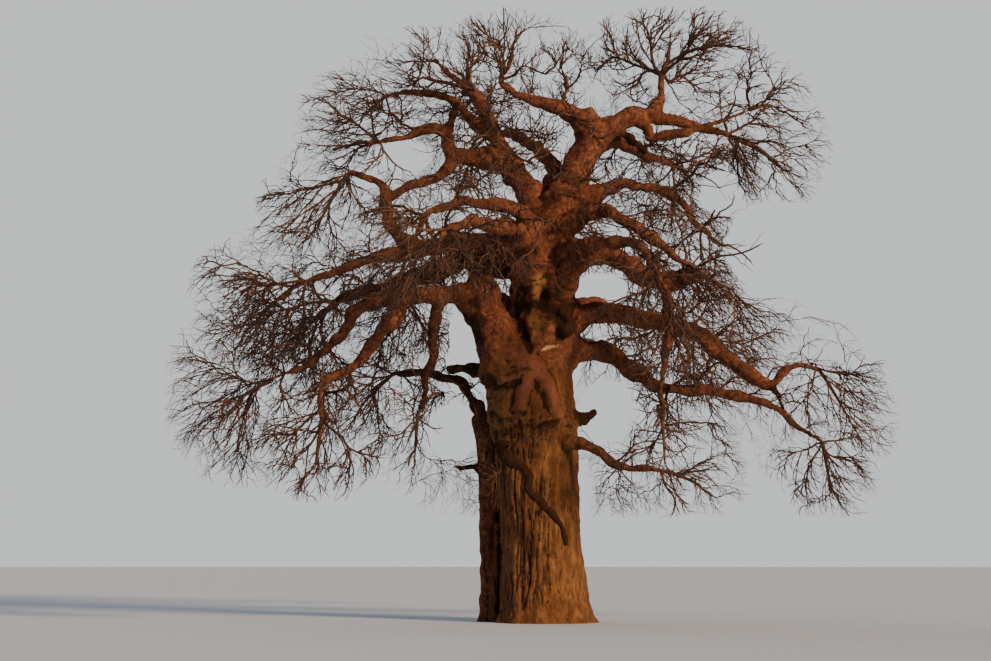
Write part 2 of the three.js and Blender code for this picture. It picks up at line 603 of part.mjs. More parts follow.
// The branches of a spray and their twigs, as solids.
function branchesOf(name, seed, blocked) {
  const { line, bare, radius } = stems[name];
  const [wide, tall] = SPRAYS[name].room;
  const { hang } = SPRAYS[name];
  const heart = hearts[name];
  const origin = line.getPointAt(0);
  const length = line.getLength();
  const count = Math.round(BRANCH.crowd * (wide + tall));
  const made = [];
  for (let k = 0; k < count; k++) {
    const own = mix(seed, k);
    const rise = 1 - (2 * (k + 0.5)) / count;
    const turn = degrees(GOLDEN_TURN * k + 180 * sway(seed, SEEDS.turn));
    const flat = Math.sqrt(1 - rise * rise);
    const off = new THREE.Vector3(
      wide * flat * Math.cos(turn),
      wide * flat * Math.sin(turn),
      tall * (rise - BRANCH.sink * hang * flat),
    );
    for (const shrink of SHRINKS) {
      const place = heart.clone().addScaledVector(off, BRANCH.reach * shrink);
      const run = place.clone().sub(origin);
      const forward = run.dot(line.getTangentAt(0.5)) / length;
      const beside = Math.sqrt(Math.max(run.lengthSq() / length ** 2 - forward ** 2, 0));
      const t = Math.min(Math.max(forward - BRANCH.back * beside, bare), BRANCH.last);
      const start = line.getPointAt(t);
      const way = line.getTangentAt(t).addScaledVector(up, BRANCH.lift * hang).normalize();
      const points = branchPoints(start, way, place, BRANCH.steps, own);
      const thick = radius * (1 - (1 - STEM.tip) * t) * BRANCH.thin;
      if (!inSpace(name, points.slice(1), thick) || touches(points, thick, blocked)) continue;
      const radii = taper(points, thick, BRANCH.tip).slice(0, -1);
      made.push(skin(ringsAlong(points, radii, BRANCH.sides, own, 0), points.at(-1)));
      made.push(...twigsOn(name, points, thick, own, blocked));
      break;
    }
  }
  return made;
}

function spraySolid(name, seed) {
  const { line, lead, radius } = stems[name];
  const points = Array.from({ length: STEM.steps + 1 }, (_, i) => line.getPointAt(i / STEM.steps));
  points[1] = lead;
  const stem = skin(ringsAlong(points, taper(points, radius, STEM.tip), STEM.sides, seed, 0));
  const strangers = Object.entries(stems)
    .filter(([other]) => other !== name)
    .flatMap(([, other]) => capsules(other.line, () => other.radius));
  const solid = Manifold.union([stem, ...branchesOf(name, seed, wood.concat(strangers))]);
  return solid.decompose().sort((a, b) => b.volume() - a.volume())[0];
}

Object.keys(SPRAYS).forEach((name, i) => {
  solids[name] = spraySolid(name, mix(SEEDS.spray, i));
});

const TRUNK_BARK = { color: 0x7a5645, roughness: 0.85, metalness: 0 };
const LIMB_BARK = { color: 0x80594a, roughness: 0.8, metalness: 0 };
const TWIG_BARK = { color: 0x5d4237, roughness: 0.8, metalness: 0 };

function barkOf(name) {
  if (name in STANDING) return TRUNK_BARK;
  return name in SPRAYS ? TWIG_BARK : LIMB_BARK;
}

const tree = new THREE.Group();
for (const [name, solid] of Object.entries(solids)) {
  const mesh = new THREE.Mesh(geometryOf(solid), new THREE.MeshStandardMaterial(barkOf(name)));
  mesh.name = name;
  tree.add(mesh);
}

export default tree;
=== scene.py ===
# %% [markdown]
# # A leafless baobab in Blender
# The tree is a swollen trunk that forks low, heavy limbs that sag and crook, and thousands of bare
# twigs. A tree like this could be sculpted by hand or grown by an add-on. Here it is worked out
# from a few tables of sizes, so every step can be read, changed and run again with the same result.
# Everything is in metres: +Z is up, and the origin is the middle of the flat cut at ground level.

import itertools
import json
import math
from functools import partial

import bmesh
import bpy
import numpy as np
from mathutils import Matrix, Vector

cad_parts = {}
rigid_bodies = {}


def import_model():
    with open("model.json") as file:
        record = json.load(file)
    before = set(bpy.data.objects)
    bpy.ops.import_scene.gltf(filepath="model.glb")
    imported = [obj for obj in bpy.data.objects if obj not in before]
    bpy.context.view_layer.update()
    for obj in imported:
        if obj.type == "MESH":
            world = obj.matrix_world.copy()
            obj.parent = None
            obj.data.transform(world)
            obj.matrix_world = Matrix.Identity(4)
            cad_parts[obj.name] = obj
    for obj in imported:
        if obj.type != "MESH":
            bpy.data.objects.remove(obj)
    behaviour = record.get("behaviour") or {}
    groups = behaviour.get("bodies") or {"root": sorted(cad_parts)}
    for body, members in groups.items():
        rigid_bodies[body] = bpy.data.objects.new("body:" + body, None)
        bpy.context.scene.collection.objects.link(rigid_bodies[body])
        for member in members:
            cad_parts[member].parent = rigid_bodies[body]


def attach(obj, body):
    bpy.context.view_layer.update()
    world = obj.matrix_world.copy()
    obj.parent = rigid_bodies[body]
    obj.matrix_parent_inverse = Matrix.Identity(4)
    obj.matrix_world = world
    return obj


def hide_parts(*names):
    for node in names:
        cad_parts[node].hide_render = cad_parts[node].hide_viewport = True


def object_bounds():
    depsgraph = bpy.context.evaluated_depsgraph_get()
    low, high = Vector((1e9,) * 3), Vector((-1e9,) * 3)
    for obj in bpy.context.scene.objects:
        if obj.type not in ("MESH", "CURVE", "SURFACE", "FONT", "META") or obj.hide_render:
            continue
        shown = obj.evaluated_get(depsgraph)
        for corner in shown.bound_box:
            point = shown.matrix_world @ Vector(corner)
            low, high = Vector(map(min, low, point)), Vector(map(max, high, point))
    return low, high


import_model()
frame_box = [list(corner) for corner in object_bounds()]
print("frame box", frame_box)

# %% [markdown]
# ## The camera
# The tree is seen from eye height, far enough off that its crown fits, and the camera looks a
# little upwards, which is why the horizon lies low in the picture. A lens is usually chosen by
# its length in millimetres. Here it is worked out from how many pixels a metre at one metre away
# should cover, because that is what a picture can be measured for.

# %% Camera
PICTURE_WIDTH = 991
EYE = Vector((-1.16, -50, 1.78))
EYE_TILT = math.radians(7.7)
PIXELS_PER_UNIT = 1700
SENSOR_WIDTH = 36
FARTHEST = 3000


def place_object(name, data):
    """Puts new data into the scene as an object."""
    made = bpy.data.objects.new(name, data)
    bpy.context.collection.objects.link(made)
    return made


camera_data = bpy.data.cameras.new("eye")
camera_data.sensor_width = SENSOR_WIDTH
camera_data.lens = PIXELS_PER_UNIT / PICTURE_WIDTH * SENSOR_WIDTH
camera_data.clip_end = FARTHEST
camera = place_object("eye", camera_data)
camera.location = EYE
camera.rotation_euler = (math.radians(90) + EYE_TILT, 0, 0)
bpy.context.scene.camera = camera
print("lens", round(camera_data.lens, 1), "mm")

# %% [markdown]
# ## The floor and the light
# A real evening sun is low and warm. Here one broad warm lamp stands in for it, low on the right
# and in front, with a faint cool one behind and a weak cool light all round. The backdrop looks
# pale to the camera but gives little light, because a bright surround would wash the bark's dark
# folds out.

# %% Floor
FLOOR_RADIUS = 420
FLOOR_SIDES = 96
FLOOR_COLOUR = (0.74, 0.82, 0.95, 1)
FLOOR_ROUGHNESS = 0.9


def new_finish(name):
    """A material, and its shader."""
    finish = bpy.data.materials.new(name)
    finish.use_nodes = True
    return finish, finish.node_tree.nodes["Principled BSDF"]


floor_mesh = bpy.data.meshes.new("floor")
turns = np.linspace(0, 2 * math.pi, FLOOR_SIDES, endpoint=False)
floor_ring = [(FLOOR_RADIUS * math.cos(a), FLOOR_RADIUS * math.sin(a), 0) for a in turns]
floor_mesh.from_pydata(floor_ring, [], [range(FLOOR_SIDES)])
floor = place_object("floor", floor_mesh)
floor_finish, floor_shader = new_finish("pale_floor")
floor_shader.inputs["Base Color"].default_value = FLOOR_COLOUR
floor_shader.inputs["Roughness"].default_value = FLOOR_ROUGHNESS
floor_mesh.materials.append(floor_finish)
print("floor", FLOOR_RADIUS, "m")

# %% Lamps
LAMPS = {
    "key": {"way": (0.66, -0.7, 0.32), "power": 4.0, "width": 9, "colour": (1.0, 0.71, 0.42)},
    "back": {"way": (-0.62, 0.7, 0.5), "power": 0.55, "width": 50, "colour": (0.8, 0.88, 1.0)},
}
for name, setting in LAMPS.items():
    light = bpy.data.lights.new(name, "SUN")
    light.energy = setting["power"]
    light.angle = math.radians(setting["width"])
    light.color = setting["colour"]
    lamp = place_object(name, light)
    lamp.rotation_euler = Vector(setting["way"]).to_track_quat("Z", "Y").to_euler()
print("lamps", list(LAMPS))

# %% Light all round, and the backdrop
FILL_COLOUR = (0.72, 0.72, 0.76, 1)
FILL_POWER = 0.3
BACKDROP_COLOUR = (0.74, 0.76, 0.78, 1)
world = bpy.data.worlds.new("studio")
world.use_nodes = True
bpy.context.scene.world = world
studio = world.node_tree
studio.nodes.clear()
seen_or_lit = studio.nodes.new("ShaderNodeMixShader")
for number, (colour, power) in enumerate([(FILL_COLOUR, FILL_POWER), (BACKDROP_COLOUR, 1)], 1):
    background = studio.nodes.new("ShaderNodeBackground")
    background.inputs["Color"].default_value = colour
    background.inputs["Strength"].default_value = power
    studio.links.new(background.outputs[0], seen_or_lit.inputs[number])
ray = studio.nodes.new("ShaderNodeLightPath")
world_out = studio.nodes.new("ShaderNodeOutputWorld")
studio.links.new(ray.outputs["Is Camera Ray"], seen_or_lit.inputs["Fac"])
studio.links.new(seen_or_lit.outputs[0], world_out.inputs["Surface"])
print("fill", FILL_POWER)

# %% [markdown]
# ## Chance that never changes
# Bark and twigs need thousands of small accidents. A random generator gives others on every
# change of order, so each number here is worked out from a seed and a count alone. The source of
# this tree's plain solids uses the same rule, so its branches come out in the same places again.
# Noise is that rule at the corners of a grid, smoothly blended in between.

# %% Seeded numbers and noise
LARGEST = 0xFFFFFFFF
WORD, ONE, *STIRRERS = map(np.uint64, (LARGEST, 1, 0x9E3779B1, 0x85EBCA6B, 0xC2B2AE35))
SHIFTS = np.uint64(13), np.uint64(16)
GRID_STIRRERS = 73856093, 19349663, 83492791
LAYER_SHIFT = 17.3


def mix(seed, count):
    """A whole number from 0 to 2^32 that is always the same for the same seed and count."""
    step = (np.asarray(count, np.uint64) + ONE) * STIRRERS[0] & WORD
    h = (np.asarray(seed, np.uint64) ^ step) * STIRRERS[1] & WORD
    h = (h ^ (h >> SHIFTS[0])) * STIRRERS[2] & WORD
    return h ^ (h >> SHIFTS[1])


def sway(seed, count):
    """A number from -1 to 1, by the same rule."""
    return mix(seed, count) / 2.0**31 - 1


def noise(points, seed):
    """Smooth noise, about -1 to 1, whose lumps are about one unit across."""
    cell = np.floor(points).astype(np.int64)
    part = points - cell
    part = part * part * part * (part * (part * 6 - 15) + 10)
    total = np.zeros(len(points))
    for corner in itertools.product((0, 1), repeat=3):
        x, y, z = ((cell + corner) * GRID_STIRRERS).T
        place = (x ^ y ^ z) & LARGEST
        share = np.prod(np.where(corner, part, 1 - part), axis=1)
        total += share * sway(place, seed)
    return total


def rough_noise(points, seed, layers=3):
    """Several layers of noise, each twice as fine and half as strong."""
    return sum(noise(points * 2**k + LAYER_SHIFT * k, seed + k) / 2**k for k in range(layers))


def smooth_step(low, high, value):
    """Rises from 0 to 1 between two values, with soft ends."""
    part = np.clip((value - low) / (high - low), 0, 1)
    return part * part * (3 - 2 * part)


print("first numbers", [round(float(sway(1, k)), 3) for k in range(4)])

# %% [markdown]
# ## Lines that bend like boughs
# A bough is drawn as a smooth line through a few points. Bezier curves need two handles for every
# point, and a Catmull-Rom line needs none: it finds its own way through. The centripetal kind has
# no loops where two points lie close together. Lengths are measured along the line, so that a
# place can be given as a share of the whole length.

# %% Smooth lines
LINE_STEPS = 200
TANGENT_STEP = 0.0001
SHORTEST = 1e-12


class Line:
    """A smooth line through points, measured by its length."""

    def __init__(self, points):
        points = np.array(points, float)
        before = 2 * points[0] - points[1]
        after = 2 * points[-1] - points[-2]
        self.points = np.vstack([before, points, after])
        self.times = np.linspace(0, 1, LINE_STEPS + 1)
        steps = np.diff(self.at(self.times), axis=0)
        self.lengths = np.concatenate([[0], np.cumsum(np.linalg.norm(steps, axis=1))])
        self.length = self.lengths[-1]

    def at(self, times):
        """Points at times from 0 to 1, evenly spread over the stretches."""
        times = np.atleast_1d(times)
        stretches = len(self.points) - 3
        i = np.minimum((times * stretches).astype(int), stretches - 1)
        w = (times * stretches - i)[:, None]
        p0, p1, p2, p3 = (self.points[i + k] for k in range(4))
        d0, d1, d2 = (
            np.linalg.norm(b - a, axis=1)[:, None] ** 0.5
            for a, b in ((p0, p1), (p1, p2), (p2, p3))
        )
        m1 = ((p1 - p0) / d0 - (p2 - p0) / (d0 + d1) + (p2 - p1) / d1) * d1
        m2 = ((p2 - p1) / d1 - (p3 - p1) / (d1 + d2) + (p3 - p2) / d2) * d1
        bend = -3 * p1 + 3 * p2 - 2 * m1 - m2
        twist = 2 * p1 - 2 * p2 + m1 + m2
        return p1 + m1 * w + bend * w**2 + twist * w**3

    def time_of(self, share):
        """The time at which a share of the length is reached."""
        return np.interp(np.asarray(share) * self.length, self.lengths, self.times)

    def spot(self, share):
        """The point at a share of the length, or the points at many shares."""
        found = self.at(self.time_of(share))
        return found if np.ndim(share) else found[0]

    def heading(self, share):
        """The unit direction at a share of the length, or at many."""
        time = self.time_of(share)
        ahead = self.at(np.minimum(time + TANGENT_STEP, 1))
        back = self.at(np.maximum(time - TANGENT_STEP, 0))
        way = unit(ahead - back)
        return way if np.ndim(share) else way[0]


def unit(vectors):
    """The same directions with length 1."""
    return vectors / np.maximum(np.linalg.norm(vectors, axis=-1, keepdims=True), SHORTEST)


def spread(values, share):
    """Value at a share from 0 to 1 in a list that is spread evenly over that stretch."""
    return np.interp(np.clip(share, 0, 1), np.linspace(0, 1, len(values)), values)


print("a bent line", Line([[0, 0, 0], [1, 0, 0], [1, 1, 0]]).length.round(3), "m long")

# %% [markdown]
# ## What the eye reads
# The shape of a tree is read from one side: how far left or right a place is, and how high. Those
# two are taken on a plane through the trunk, square to the line of sight, and the depth is given
# beside them. A place is then carried along its own line of sight to its depth, so it stays
# where the eye reads it, however near or far it is.

# %% From the eye to the tree
AXIS_HEIGHT = 8.57


def seen(spot):
    """A point from its side, its height and its depth as the eye reads them."""
    side, height, depth = spot
    away = -EYE.y
    rise = height - AXIS_HEIGHT
    level = away * math.cos(EYE_TILT) - rise * math.sin(EYE_TILT)
    climb = away * math.sin(EYE_TILT) + rise * math.cos(EYE_TILT)
    share = (away + depth) / level
    return np.array([EYE.x + (side - EYE.x) * share, depth, EYE.z + climb * share])


print("eye reads the top of the crown at", seen([0, 18, 0]).round(2))

# %% [markdown]
# ## The sizes of the trunk and the second stem
# What stands on the ground is a stack of level rings: height, left edge, right edge and depth of
# the middle. A baobab's trunk isn't round. It has broad folds that run down into its foot, each
# given by its bearing in degrees, how far it stands out, its width, and its extra at the ground.
# The rings are read from the front, and the folds on the far side are made up.

# %% Standing stems
STANDING = {
    "trunk": {
        "rings": [
            [0, -1.2, 1.86, 0], [0.25, -1.12, 1.7, 0], [0.9, -1.04, 1.5, 0], [2, -1.0, 1.38, 0],
            [3.6, -1.02, 1.3, 0], [4.9, -1.2, 1.28, 0], [5.9, -1.42, 1.24, 0],
            [6.8, -1.42, 1.15, 0], [7.5, -1.38, 1.13, 0], [8.0, -1.05, 1.0, 0],
            [8.35, -0.6, 0.75, 0],
        ],
        "folds": [
            (200, 0.07, 16, 0.1), (232, 0.06, 14, 0.12), (263, 0.05, 14, 0.1),
            (315, 0.04, 24, 0.14), (0, 0.03, 20, 0.16), (48, 0.08, 18, 0.18),
            (100, 0.07, 22, 0.14),
        ],
    },
    "back_stem": {
        "rings": [
            [0, -1.72, -0.7, 0.7], [0.3, -1.66, -0.7, 0.7], [1.8, -1.62, -0.7, 0.7],
            [3.8, -1.64, -0.78, 0.74], [5.2, -1.76, -1.0, 0.85], [6.0, -1.9, -1.25, 1.0],
        ],
        "folds": [(120, 0.12, 30, 0.1), (210, 0.1, 30, 0.1)],
    },
}
FOOT_HEIGHT = 0.6
ROUND = 0.97

# %% [markdown]
# ## The sizes of the limbs
# Heavy limbs leave the stem level, sag, and then turn down or up at an elbow, as old baobab wood
# does. Each row names the wood that a limb springs from, and the share of its length at which it
# does so. Then come the limb's radii, spread evenly from root to tip, and its route of points
# that the eye reads as side, height and depth.

# %% Limbs
LIMBS = {
    "left_stem": ("trunk", 0.83, [0.72, 0.66, 0.62, 0.52], [
        [-0.8, 7.3, -0.35], [-1.12, 8.2, -0.4], [-1.4, 9.0, -0.35], [-1.62, 9.75, -0.3],
    ]),
    "main_stem": ("trunk", 0.8, [1.0, 0.88, 0.94, 0.92, 0.7, 0.47, 0.44, 0.42], [
        [0.36, 8.2, 0], [0.32, 9.4, 0], [0.3, 10.6, 0], [0.6, 11.7, 0], [1.0, 12.7, 0],
        [1.4, 13.6, 0], [1.82, 14.4, 0],
    ]),
    "bough_left_main": ("left_stem", 0.86, [0.4, 0.3, 0.25, 0.25, 0.24], [
        [-2.35, 9.6, -0.5], [-3.1, 9.52, -0.8], [-4.0, 9.55, -1.2], [-4.7, 9.45, -1.5],
    ]),
    "bough_left_fall": ("bough_left_main", 0.8, [0.24, 0.22, 0.18, 0.14], [
        [-4.35, 8.85, -1.7], [-4.75, 8.25, -1.8], [-5.4, 7.45, -2.2], [-6.0, 7.2, -2.4],
    ]),
    "bough_left_outer": ("bough_left_main", 0.97, [0.2, 0.17, 0.13, 0.09], [
        [-5.2, 9.1, -1.2], [-5.8, 8.35, -1.3], [-6.6, 7.6, -1.7], [-7.2, 7.35, -1.9],
    ]),
    "bough_left_hanger": ("bough_left_main", 0.42, [0.17, 0.15, 0.13, 0.07], [
        [-2.92, 8.8, -0.8], [-3.02, 8.0, -0.8], [-3.2, 7.0, -0.7], [-3.4, 6.2, -0.7],
    ]),
    "bough_left_long": ("main_stem", 0.46, [0.44, 0.36, 0.3, 0.24, 0.18, 0.12], [
        [-1.0, 11.15, 0.2], [-2.0, 11.2, 0.3], [-3.0, 11.0, 0.4], [-4.3, 10.8, 0.5],
        [-5.5, 10.4, 0.5], [-6.5, 10.1, 0.5],
    ]),
    "bough_left_riser": ("bough_left_long", 0.56, [0.25, 0.2, 0.17, 0.1], [
        [-4.2, 11.5, 0.35], [-4.32, 12.3, 0.25], [-4.5, 12.8, 0.2], [-5.3, 13.2, 0.3],
    ]),
    "bough_left_back": ("main_stem", 0.38, [0.45, 0.36, 0.28, 0.15], [
        [-1.7, 10.65, 1.5], [-2.8, 10.35, 2.6], [-4.2, 9.9, 4.0], [-5.7, 9.5, 5.2],
    ]),
    "bough_left_front": ("main_stem", 0.58, [0.32, 0.26, 0.2, 0.13], [
        [-0.45, 12.05, -1.1], [-1.35, 12.3, -1.9], [-2.3, 12.4, -2.7], [-3.0, 12.1, -3.4],
    ]),
    "bough_left_under": ("back_stem", 0.96, [0.21, 0.16, 0.13, 0.09], [
        [-1.8, 6.4, 1.2], [-2.15, 7.0, 1.5], [-2.9, 7.25, 2.1], [-4.0, 7.3, 3.0],
    ]),
    "leader_left": ("main_stem", 0.55, [0.54, 0.46, 0.34, 0.25, 0.2], [
        [-0.1, 12.55, 0.5], [-0.65, 13.35, 0.65], [-1.12, 14.2, 0.8], [-1.5, 15.1, 0.9],
    ]),
    "bough_left_crook": ("leader_left", 0.52, [0.36, 0.3, 0.26, 0.2, 0.15, 0.11], [
        [-1.65, 13.7, 0.4], [-2.3, 13.8, 0.1], [-2.65, 14.35, 0], [-3.1, 14.55, -0.1],
        [-3.8, 14.3, -0.1], [-4.4, 14.15, 0],
    ]),
    "bough_high_left": ("leader_left", 0.8, [0.2, 0.16, 0.13, 0.08], [
        [-2.0, 14.95, 1.1], [-2.6, 15.45, 1.1], [-3.4, 15.6, 1.3], [-4.2, 15.5, 1.5],
    ]),
    "bough_top_left": ("main_stem", 0.98, [0.34, 0.27, 0.22, 0.18, 0.12], [
        [1.0, 14.97, -0.2], [0.15, 15.35, -0.5], [-0.4, 15.5, -0.7], [-0.85, 15.75, -0.8],
    ]),
    "bough_top_right": ("main_stem", 0.97, [0.4, 0.3, 0.25, 0.2, 0.16, 0.12], [
        [2.65, 14.82, 0.1], [3.55, 14.8, 0.3], [4.6, 14.6, 0.5], [5.4, 14.4, 0.6],
    ]),
    "bough_top_riser": ("bough_top_right", 0.4, [0.21, 0.17, 0.14], [
        [3.62, 15.4, 0.35], [3.7, 15.8, 0.4],
    ]),
    "bough_right_high": ("main_stem", 0.72, [0.27, 0.23, 0.19, 0.16, 0.11], [
        [2.0, 12.78, 0.5], [2.75, 12.9, 0.9], [3.6, 12.75, 1.4], [4.4, 12.25, 1.7],
        [4.75, 11.65, 1.8],
    ]),
    "bough_right_arch": ("main_stem", 0.55, [0.32, 0.26, 0.21, 0.17, 0.11], [
        [1.5, 12.0, -0.9], [2.1, 12.1, -1.3], [2.6, 11.78, -1.7], [3.6, 11.25, -2.2],
        [4.15, 10.7, -2.5],
    ]),
    "bough_right_elbow": ("main_stem", 0.5, [0.26, 0.21, 0.18, 0.12], [
        [1.75, 11.15, -1.9], [2.7, 11.2, -3.0], [3.2, 10.9, -4.0], [3.5, 10.35, -4.9],
    ]),
    "bough_right_knot": ("main_stem", 0.36, [0.4, 0.33, 0.31, 0.3, 0.28], [
        [1.4, 10.55, -1.1], [2.1, 10.7, -1.4], [2.6, 10.4, -1.8], [3.15, 10.05, -2.2],
        [4.25, 10.05, -2.8],
    ]),
    "bough_right_hanger": ("bough_right_knot", 0.92, [0.18, 0.15, 0.12, 0.07], [
        [4.03, 9.3, -3.2], [3.93, 8.5, -3.3], [3.76, 7.2, -3.3], [3.76, 5.95, -3.1],
    ]),
    "bough_right_long": ("main_stem", 0.2, [0.46, 0.34, 0.3, 0.27, 0.24, 0.2], [
        [1.9, 9.06, -0.5], [3.15, 8.94, -0.8], [3.9, 8.8, -1.0], [4.7, 8.44, -1.2],
        [5.45, 7.94, -1.4], [6.1, 7.47, -1.5], [6.55, 7.1, -1.6],
    ]),
    "bough_right_tip": ("bough_right_long", 0.97, [0.16, 0.14, 0.11, 0.07], [
        [7.0, 6.94, -1.7], [7.25, 7.3, -1.8], [7.6, 7.52, -1.9], [8.1, 7.5, -2.0],
    ]),
    "bough_right_low": ("trunk", 0.88, [0.42, 0.33, 0.27, 0.2, 0.16, 0.13, 0.08], [
        [1.7, 8.05, 0.5], [2.3, 7.9, 0.7], [3.15, 7.26, 0.8], [3.8, 6.87, 0.8], [5.2, 6.85, 0.6],
        [6.5, 6.5, 0.4], [7.15, 6.26, 0.3], [7.65, 5.8, 0.2], [8.3, 5.4, 0.1],
    ]),
    "bough_right_bottom": ("trunk", 0.68, [0.28, 0.21, 0.16, 0.09], [
        [1.62, 5.15, -1.3], [2.1, 4.76, -1.6], [2.75, 4.56, -1.9], [3.5, 4.5, -2.3],
    ]),
    "bough_front_hanger": ("trunk", 0.62, [0.24, 0.22, 0.2, 0.17, 0.13, 0.08], [
        [-0.78, 5.0, -1.5], [-0.2, 4.1, -1.8], [0.36, 3.42, -1.95], [0.78, 2.85, -2.05],
        [0.9, 2.3, -2.1],
    ]),
    "bough_front_left": ("main_stem", 0.52, [0.32, 0.26, 0.2, 0.12], [
        [-0.8, 11.55, -1.9], [-1.7, 11.75, -3.6], [-2.5, 11.6, -5.2],
    ]),
    "bough_back_left": ("main_stem", 0.74, [0.3, 0.25, 0.18, 0.1], [
        [0.35, 13.7, 2.0], [-0.6, 14.3, 4.0], [-1.3, 14.4, 5.8],
    ]),
    "bough_back_right": ("main_stem", 0.92, [0.28, 0.24, 0.17, 0.1], [
        [2.35, 14.2, 1.7], [3.15, 13.8, 3.6], [4.0, 13.5, 5.6],
    ]),
    "bough_back_low_right": ("main_stem", 0.24, [0.4, 0.32, 0.22, 0.12], [
        [1.7, 9.1, 2.2], [3.0, 8.95, 4.4], [4.4, 8.6, 6.2],
    ]),
    "bough_back_low_left": ("main_stem", 0.22, [0.4, 0.32, 0.22, 0.12], [
        [-1.3, 9.4, 2.2], [-2.4, 9.55, 4.2], [-3.6, 9.45, 6.0],
    ]),
}
ARMS = {
    "arm_left_cross": ("bough_left_crook", 0.42, [0.2, 0.18, 0.16, 0.14], [
        [-2.9, 13.15, 0.1], [-3.6, 12.85, 0.15], [-4.2, 12.5, 0.2],
    ]),
    "arm_right_crook": ("bough_top_right", 0.4, [0.17, 0.16, 0.14, 0.11, 0.08, 0.06], [
        [3.35, 14.22, -0.1], [3.85, 14.32, -0.3], [4.6, 14.45, -0.45], [5.5, 14.75, -0.4],
        [6.3, 15.05, -0.2],
    ]),
}
ALL_LIMBS = {
    name: {"from": parent, "at": share, "thick": thick, "route": route}
    for name, (parent, share, thick, route) in (LIMBS | ARMS).items()
}
print(len(LIMBS), "limbs with", len(ARMS), "arms")

# %% [markdown]
# ## The spaces of the twigs
# A spray of twigs grows on from the tip of a limb into a space of its own, given by its heart,
# its half width and half height, and how strongly its twigs hang. The top sprays reach up, and
# the low ones hang like curtains.

# %% Sprays
SPRAY_SIZES = {
    "top_left": ([-0.7, 16.6, -1.3], [2.3, 1.35], -0.1),
    "leader_left": ([-2.5, 16.1, 1.2], [2.3, 1.6], 0),
    "high_left": ([-4.9, 15.0, 1.8], [2.2, 1.6], 0.1),
    "left_crook": ([-5.2, 14.1, -0.6], [2.0, 1.8], 0.2),
    "left_riser": ([-6.1, 12.2, 0.8], [2.2, 1.8], 0.4),
    "left_front": ([-3.7, 10.9, -3.9], [2.0, 2.1], 0.5),
    "left_long": ([-7.8, 9.3, 0.6], [2.6, 2.4], 0.5),
    "left_outer": ([-8.5, 6.7, -2.0], [2.6, 2.7], 0.6),
    "left_fall": ([-6.3, 5.7, -2.9], [2.1, 2.1], 0.6),
    "left_back": ([-6.7, 8.6, 5.6], [2.6, 2.5], 0.5),
    "left_hanger": ([-3.5, 5.3, -0.8], [1.4, 1.7], 0.3),
    "left_under": ([-4.9, 6.6, 3.6], [2.1, 1.9], 0.4),
    "front_left": ([-2.8, 11.2, -6.5], [2.2, 2.0], 0.4),
    "top_right": ([6.6, 13.9, 0.8], [2.2, 2.3], 0.4),
    "top_riser": ([3.9, 16.6, 0.5], [3.0, 1.4], -0.1),
    "right_high": ([5.1, 11.5, 2.6], [2.1, 2.1], 0.5),
    "right_arch": ([5.3, 10.0, -2.4], [2.1, 2.2], 0.5),
    "right_elbow": ([3.9, 9.6, -5.8], [2.0, 2.2], 0.5),
    "right_hanger": ([3.8, 5.2, -3.2], [1.4, 1.5], 0.4),
    "right_tip": ([9.0, 6.4, -2.0], [2.0, 1.9], 0.4),
    "right_low": ([8.6, 4.5, 0.4], [1.9, 1.6], 0.4),
    "right_bottom": ([4.5, 4.2, -2.6], [1.8, 1.4], 0.2),
    "back_left": ([-1.7, 14.2, 6.2], [2.6, 2.2], 0.2),
    "back_right": ([4.5, 13.1, 6.0], [2.6, 2.3], 0.3),
    "back_low_right": ([5.2, 8.1, 7.0], [2.6, 2.3], 0.5),
    "back_low_left": ([-4.2, 9.0, 7.0], [2.4, 2.2], 0.5),
}
SPRAYS = {
    "twigs_" + name: {
        "on": name if name in LIMBS else "bough_" + name,
        "heart": heart, "room": room, "hang": hang,
    }
    for name, (heart, room, hang) in SPRAY_SIZES.items()
}
print(len(SPRAYS), "sprays")

# %% [markdown]
# ## The wood as plain pieces
# Twigs have to know how near they are to other wood. To ask a fine mesh that for every twig would
# be slow. So each trunk and limb also stands as a row of short capsules, which are straight pieces
# with round ends. The distance to all of them is one sum over arrays.

# %% Capsules
CAPSULE = 0.45
BATCH = 20000
FOLD_ROOM = 1.15
lines, wood_rows, wood_names = {}, [], []


def capsules(line, radius_at):
    """Rows of start, end and radius along a line, which stand for its wood."""
    count = math.ceil(line.length / CAPSULE)
    shares = np.arange(count + 1) / count
    spots = line.spot(shares)
    radii = np.array([radius_at(share) for share in shares])
    return np.hstack([spots[:-1], spots[1:], np.maximum(radii[:-1], radii[1:])[:, None]])


def add_wood(name, points, thick, wider=1):
    """Keeps the line of a stem or limb, and the capsules of its wood."""
    lines[name] = Line(points)
    wood_rows.append(capsules(lines[name], lambda share: wider * spread(thick, share)))
    wood_names.extend([name] * len(wood_rows[-1]))


for name, stem in STANDING.items():
    middles = [[(left + right) / 2, depth, height] for height, left, right, depth in stem["rings"]]
    halves = [(right - left) / 2 for height, left, right, depth in stem["rings"]]
    add_wood(name, middles, halves, FOLD_ROOM)
for name, limb in ALL_LIMBS.items():
    root = lines[limb["from"]].spot(limb["at"])
    add_wood(name, [root, *map(seen, limb["route"])], limb["thick"])
WOOD = np.vstack(wood_rows)
wood_names = np.array(wood_names)
print("capsules", len(WOOD))

# %% Distance to the wood


def gaps_to_pieces(points, wood):
    """Distance from each point to the surface of every capsule, and the share along it."""
    start, run, radius = wood[:, :3], wood[:, 3:6] - wood[:, :3], wood[:, 6]
    run_square = (run**2).sum(1)
    along = points @ run.T - (start * run).sum(1)
    share = np.clip(along / run_square, 0, 1)
    square = (points**2).sum(1)[:, None] - 2 * points @ start.T + (start**2).sum(1)
    square += share * (share * run_square - 2 * along)
    return np.sqrt(np.maximum(square, 0)) - radius, share


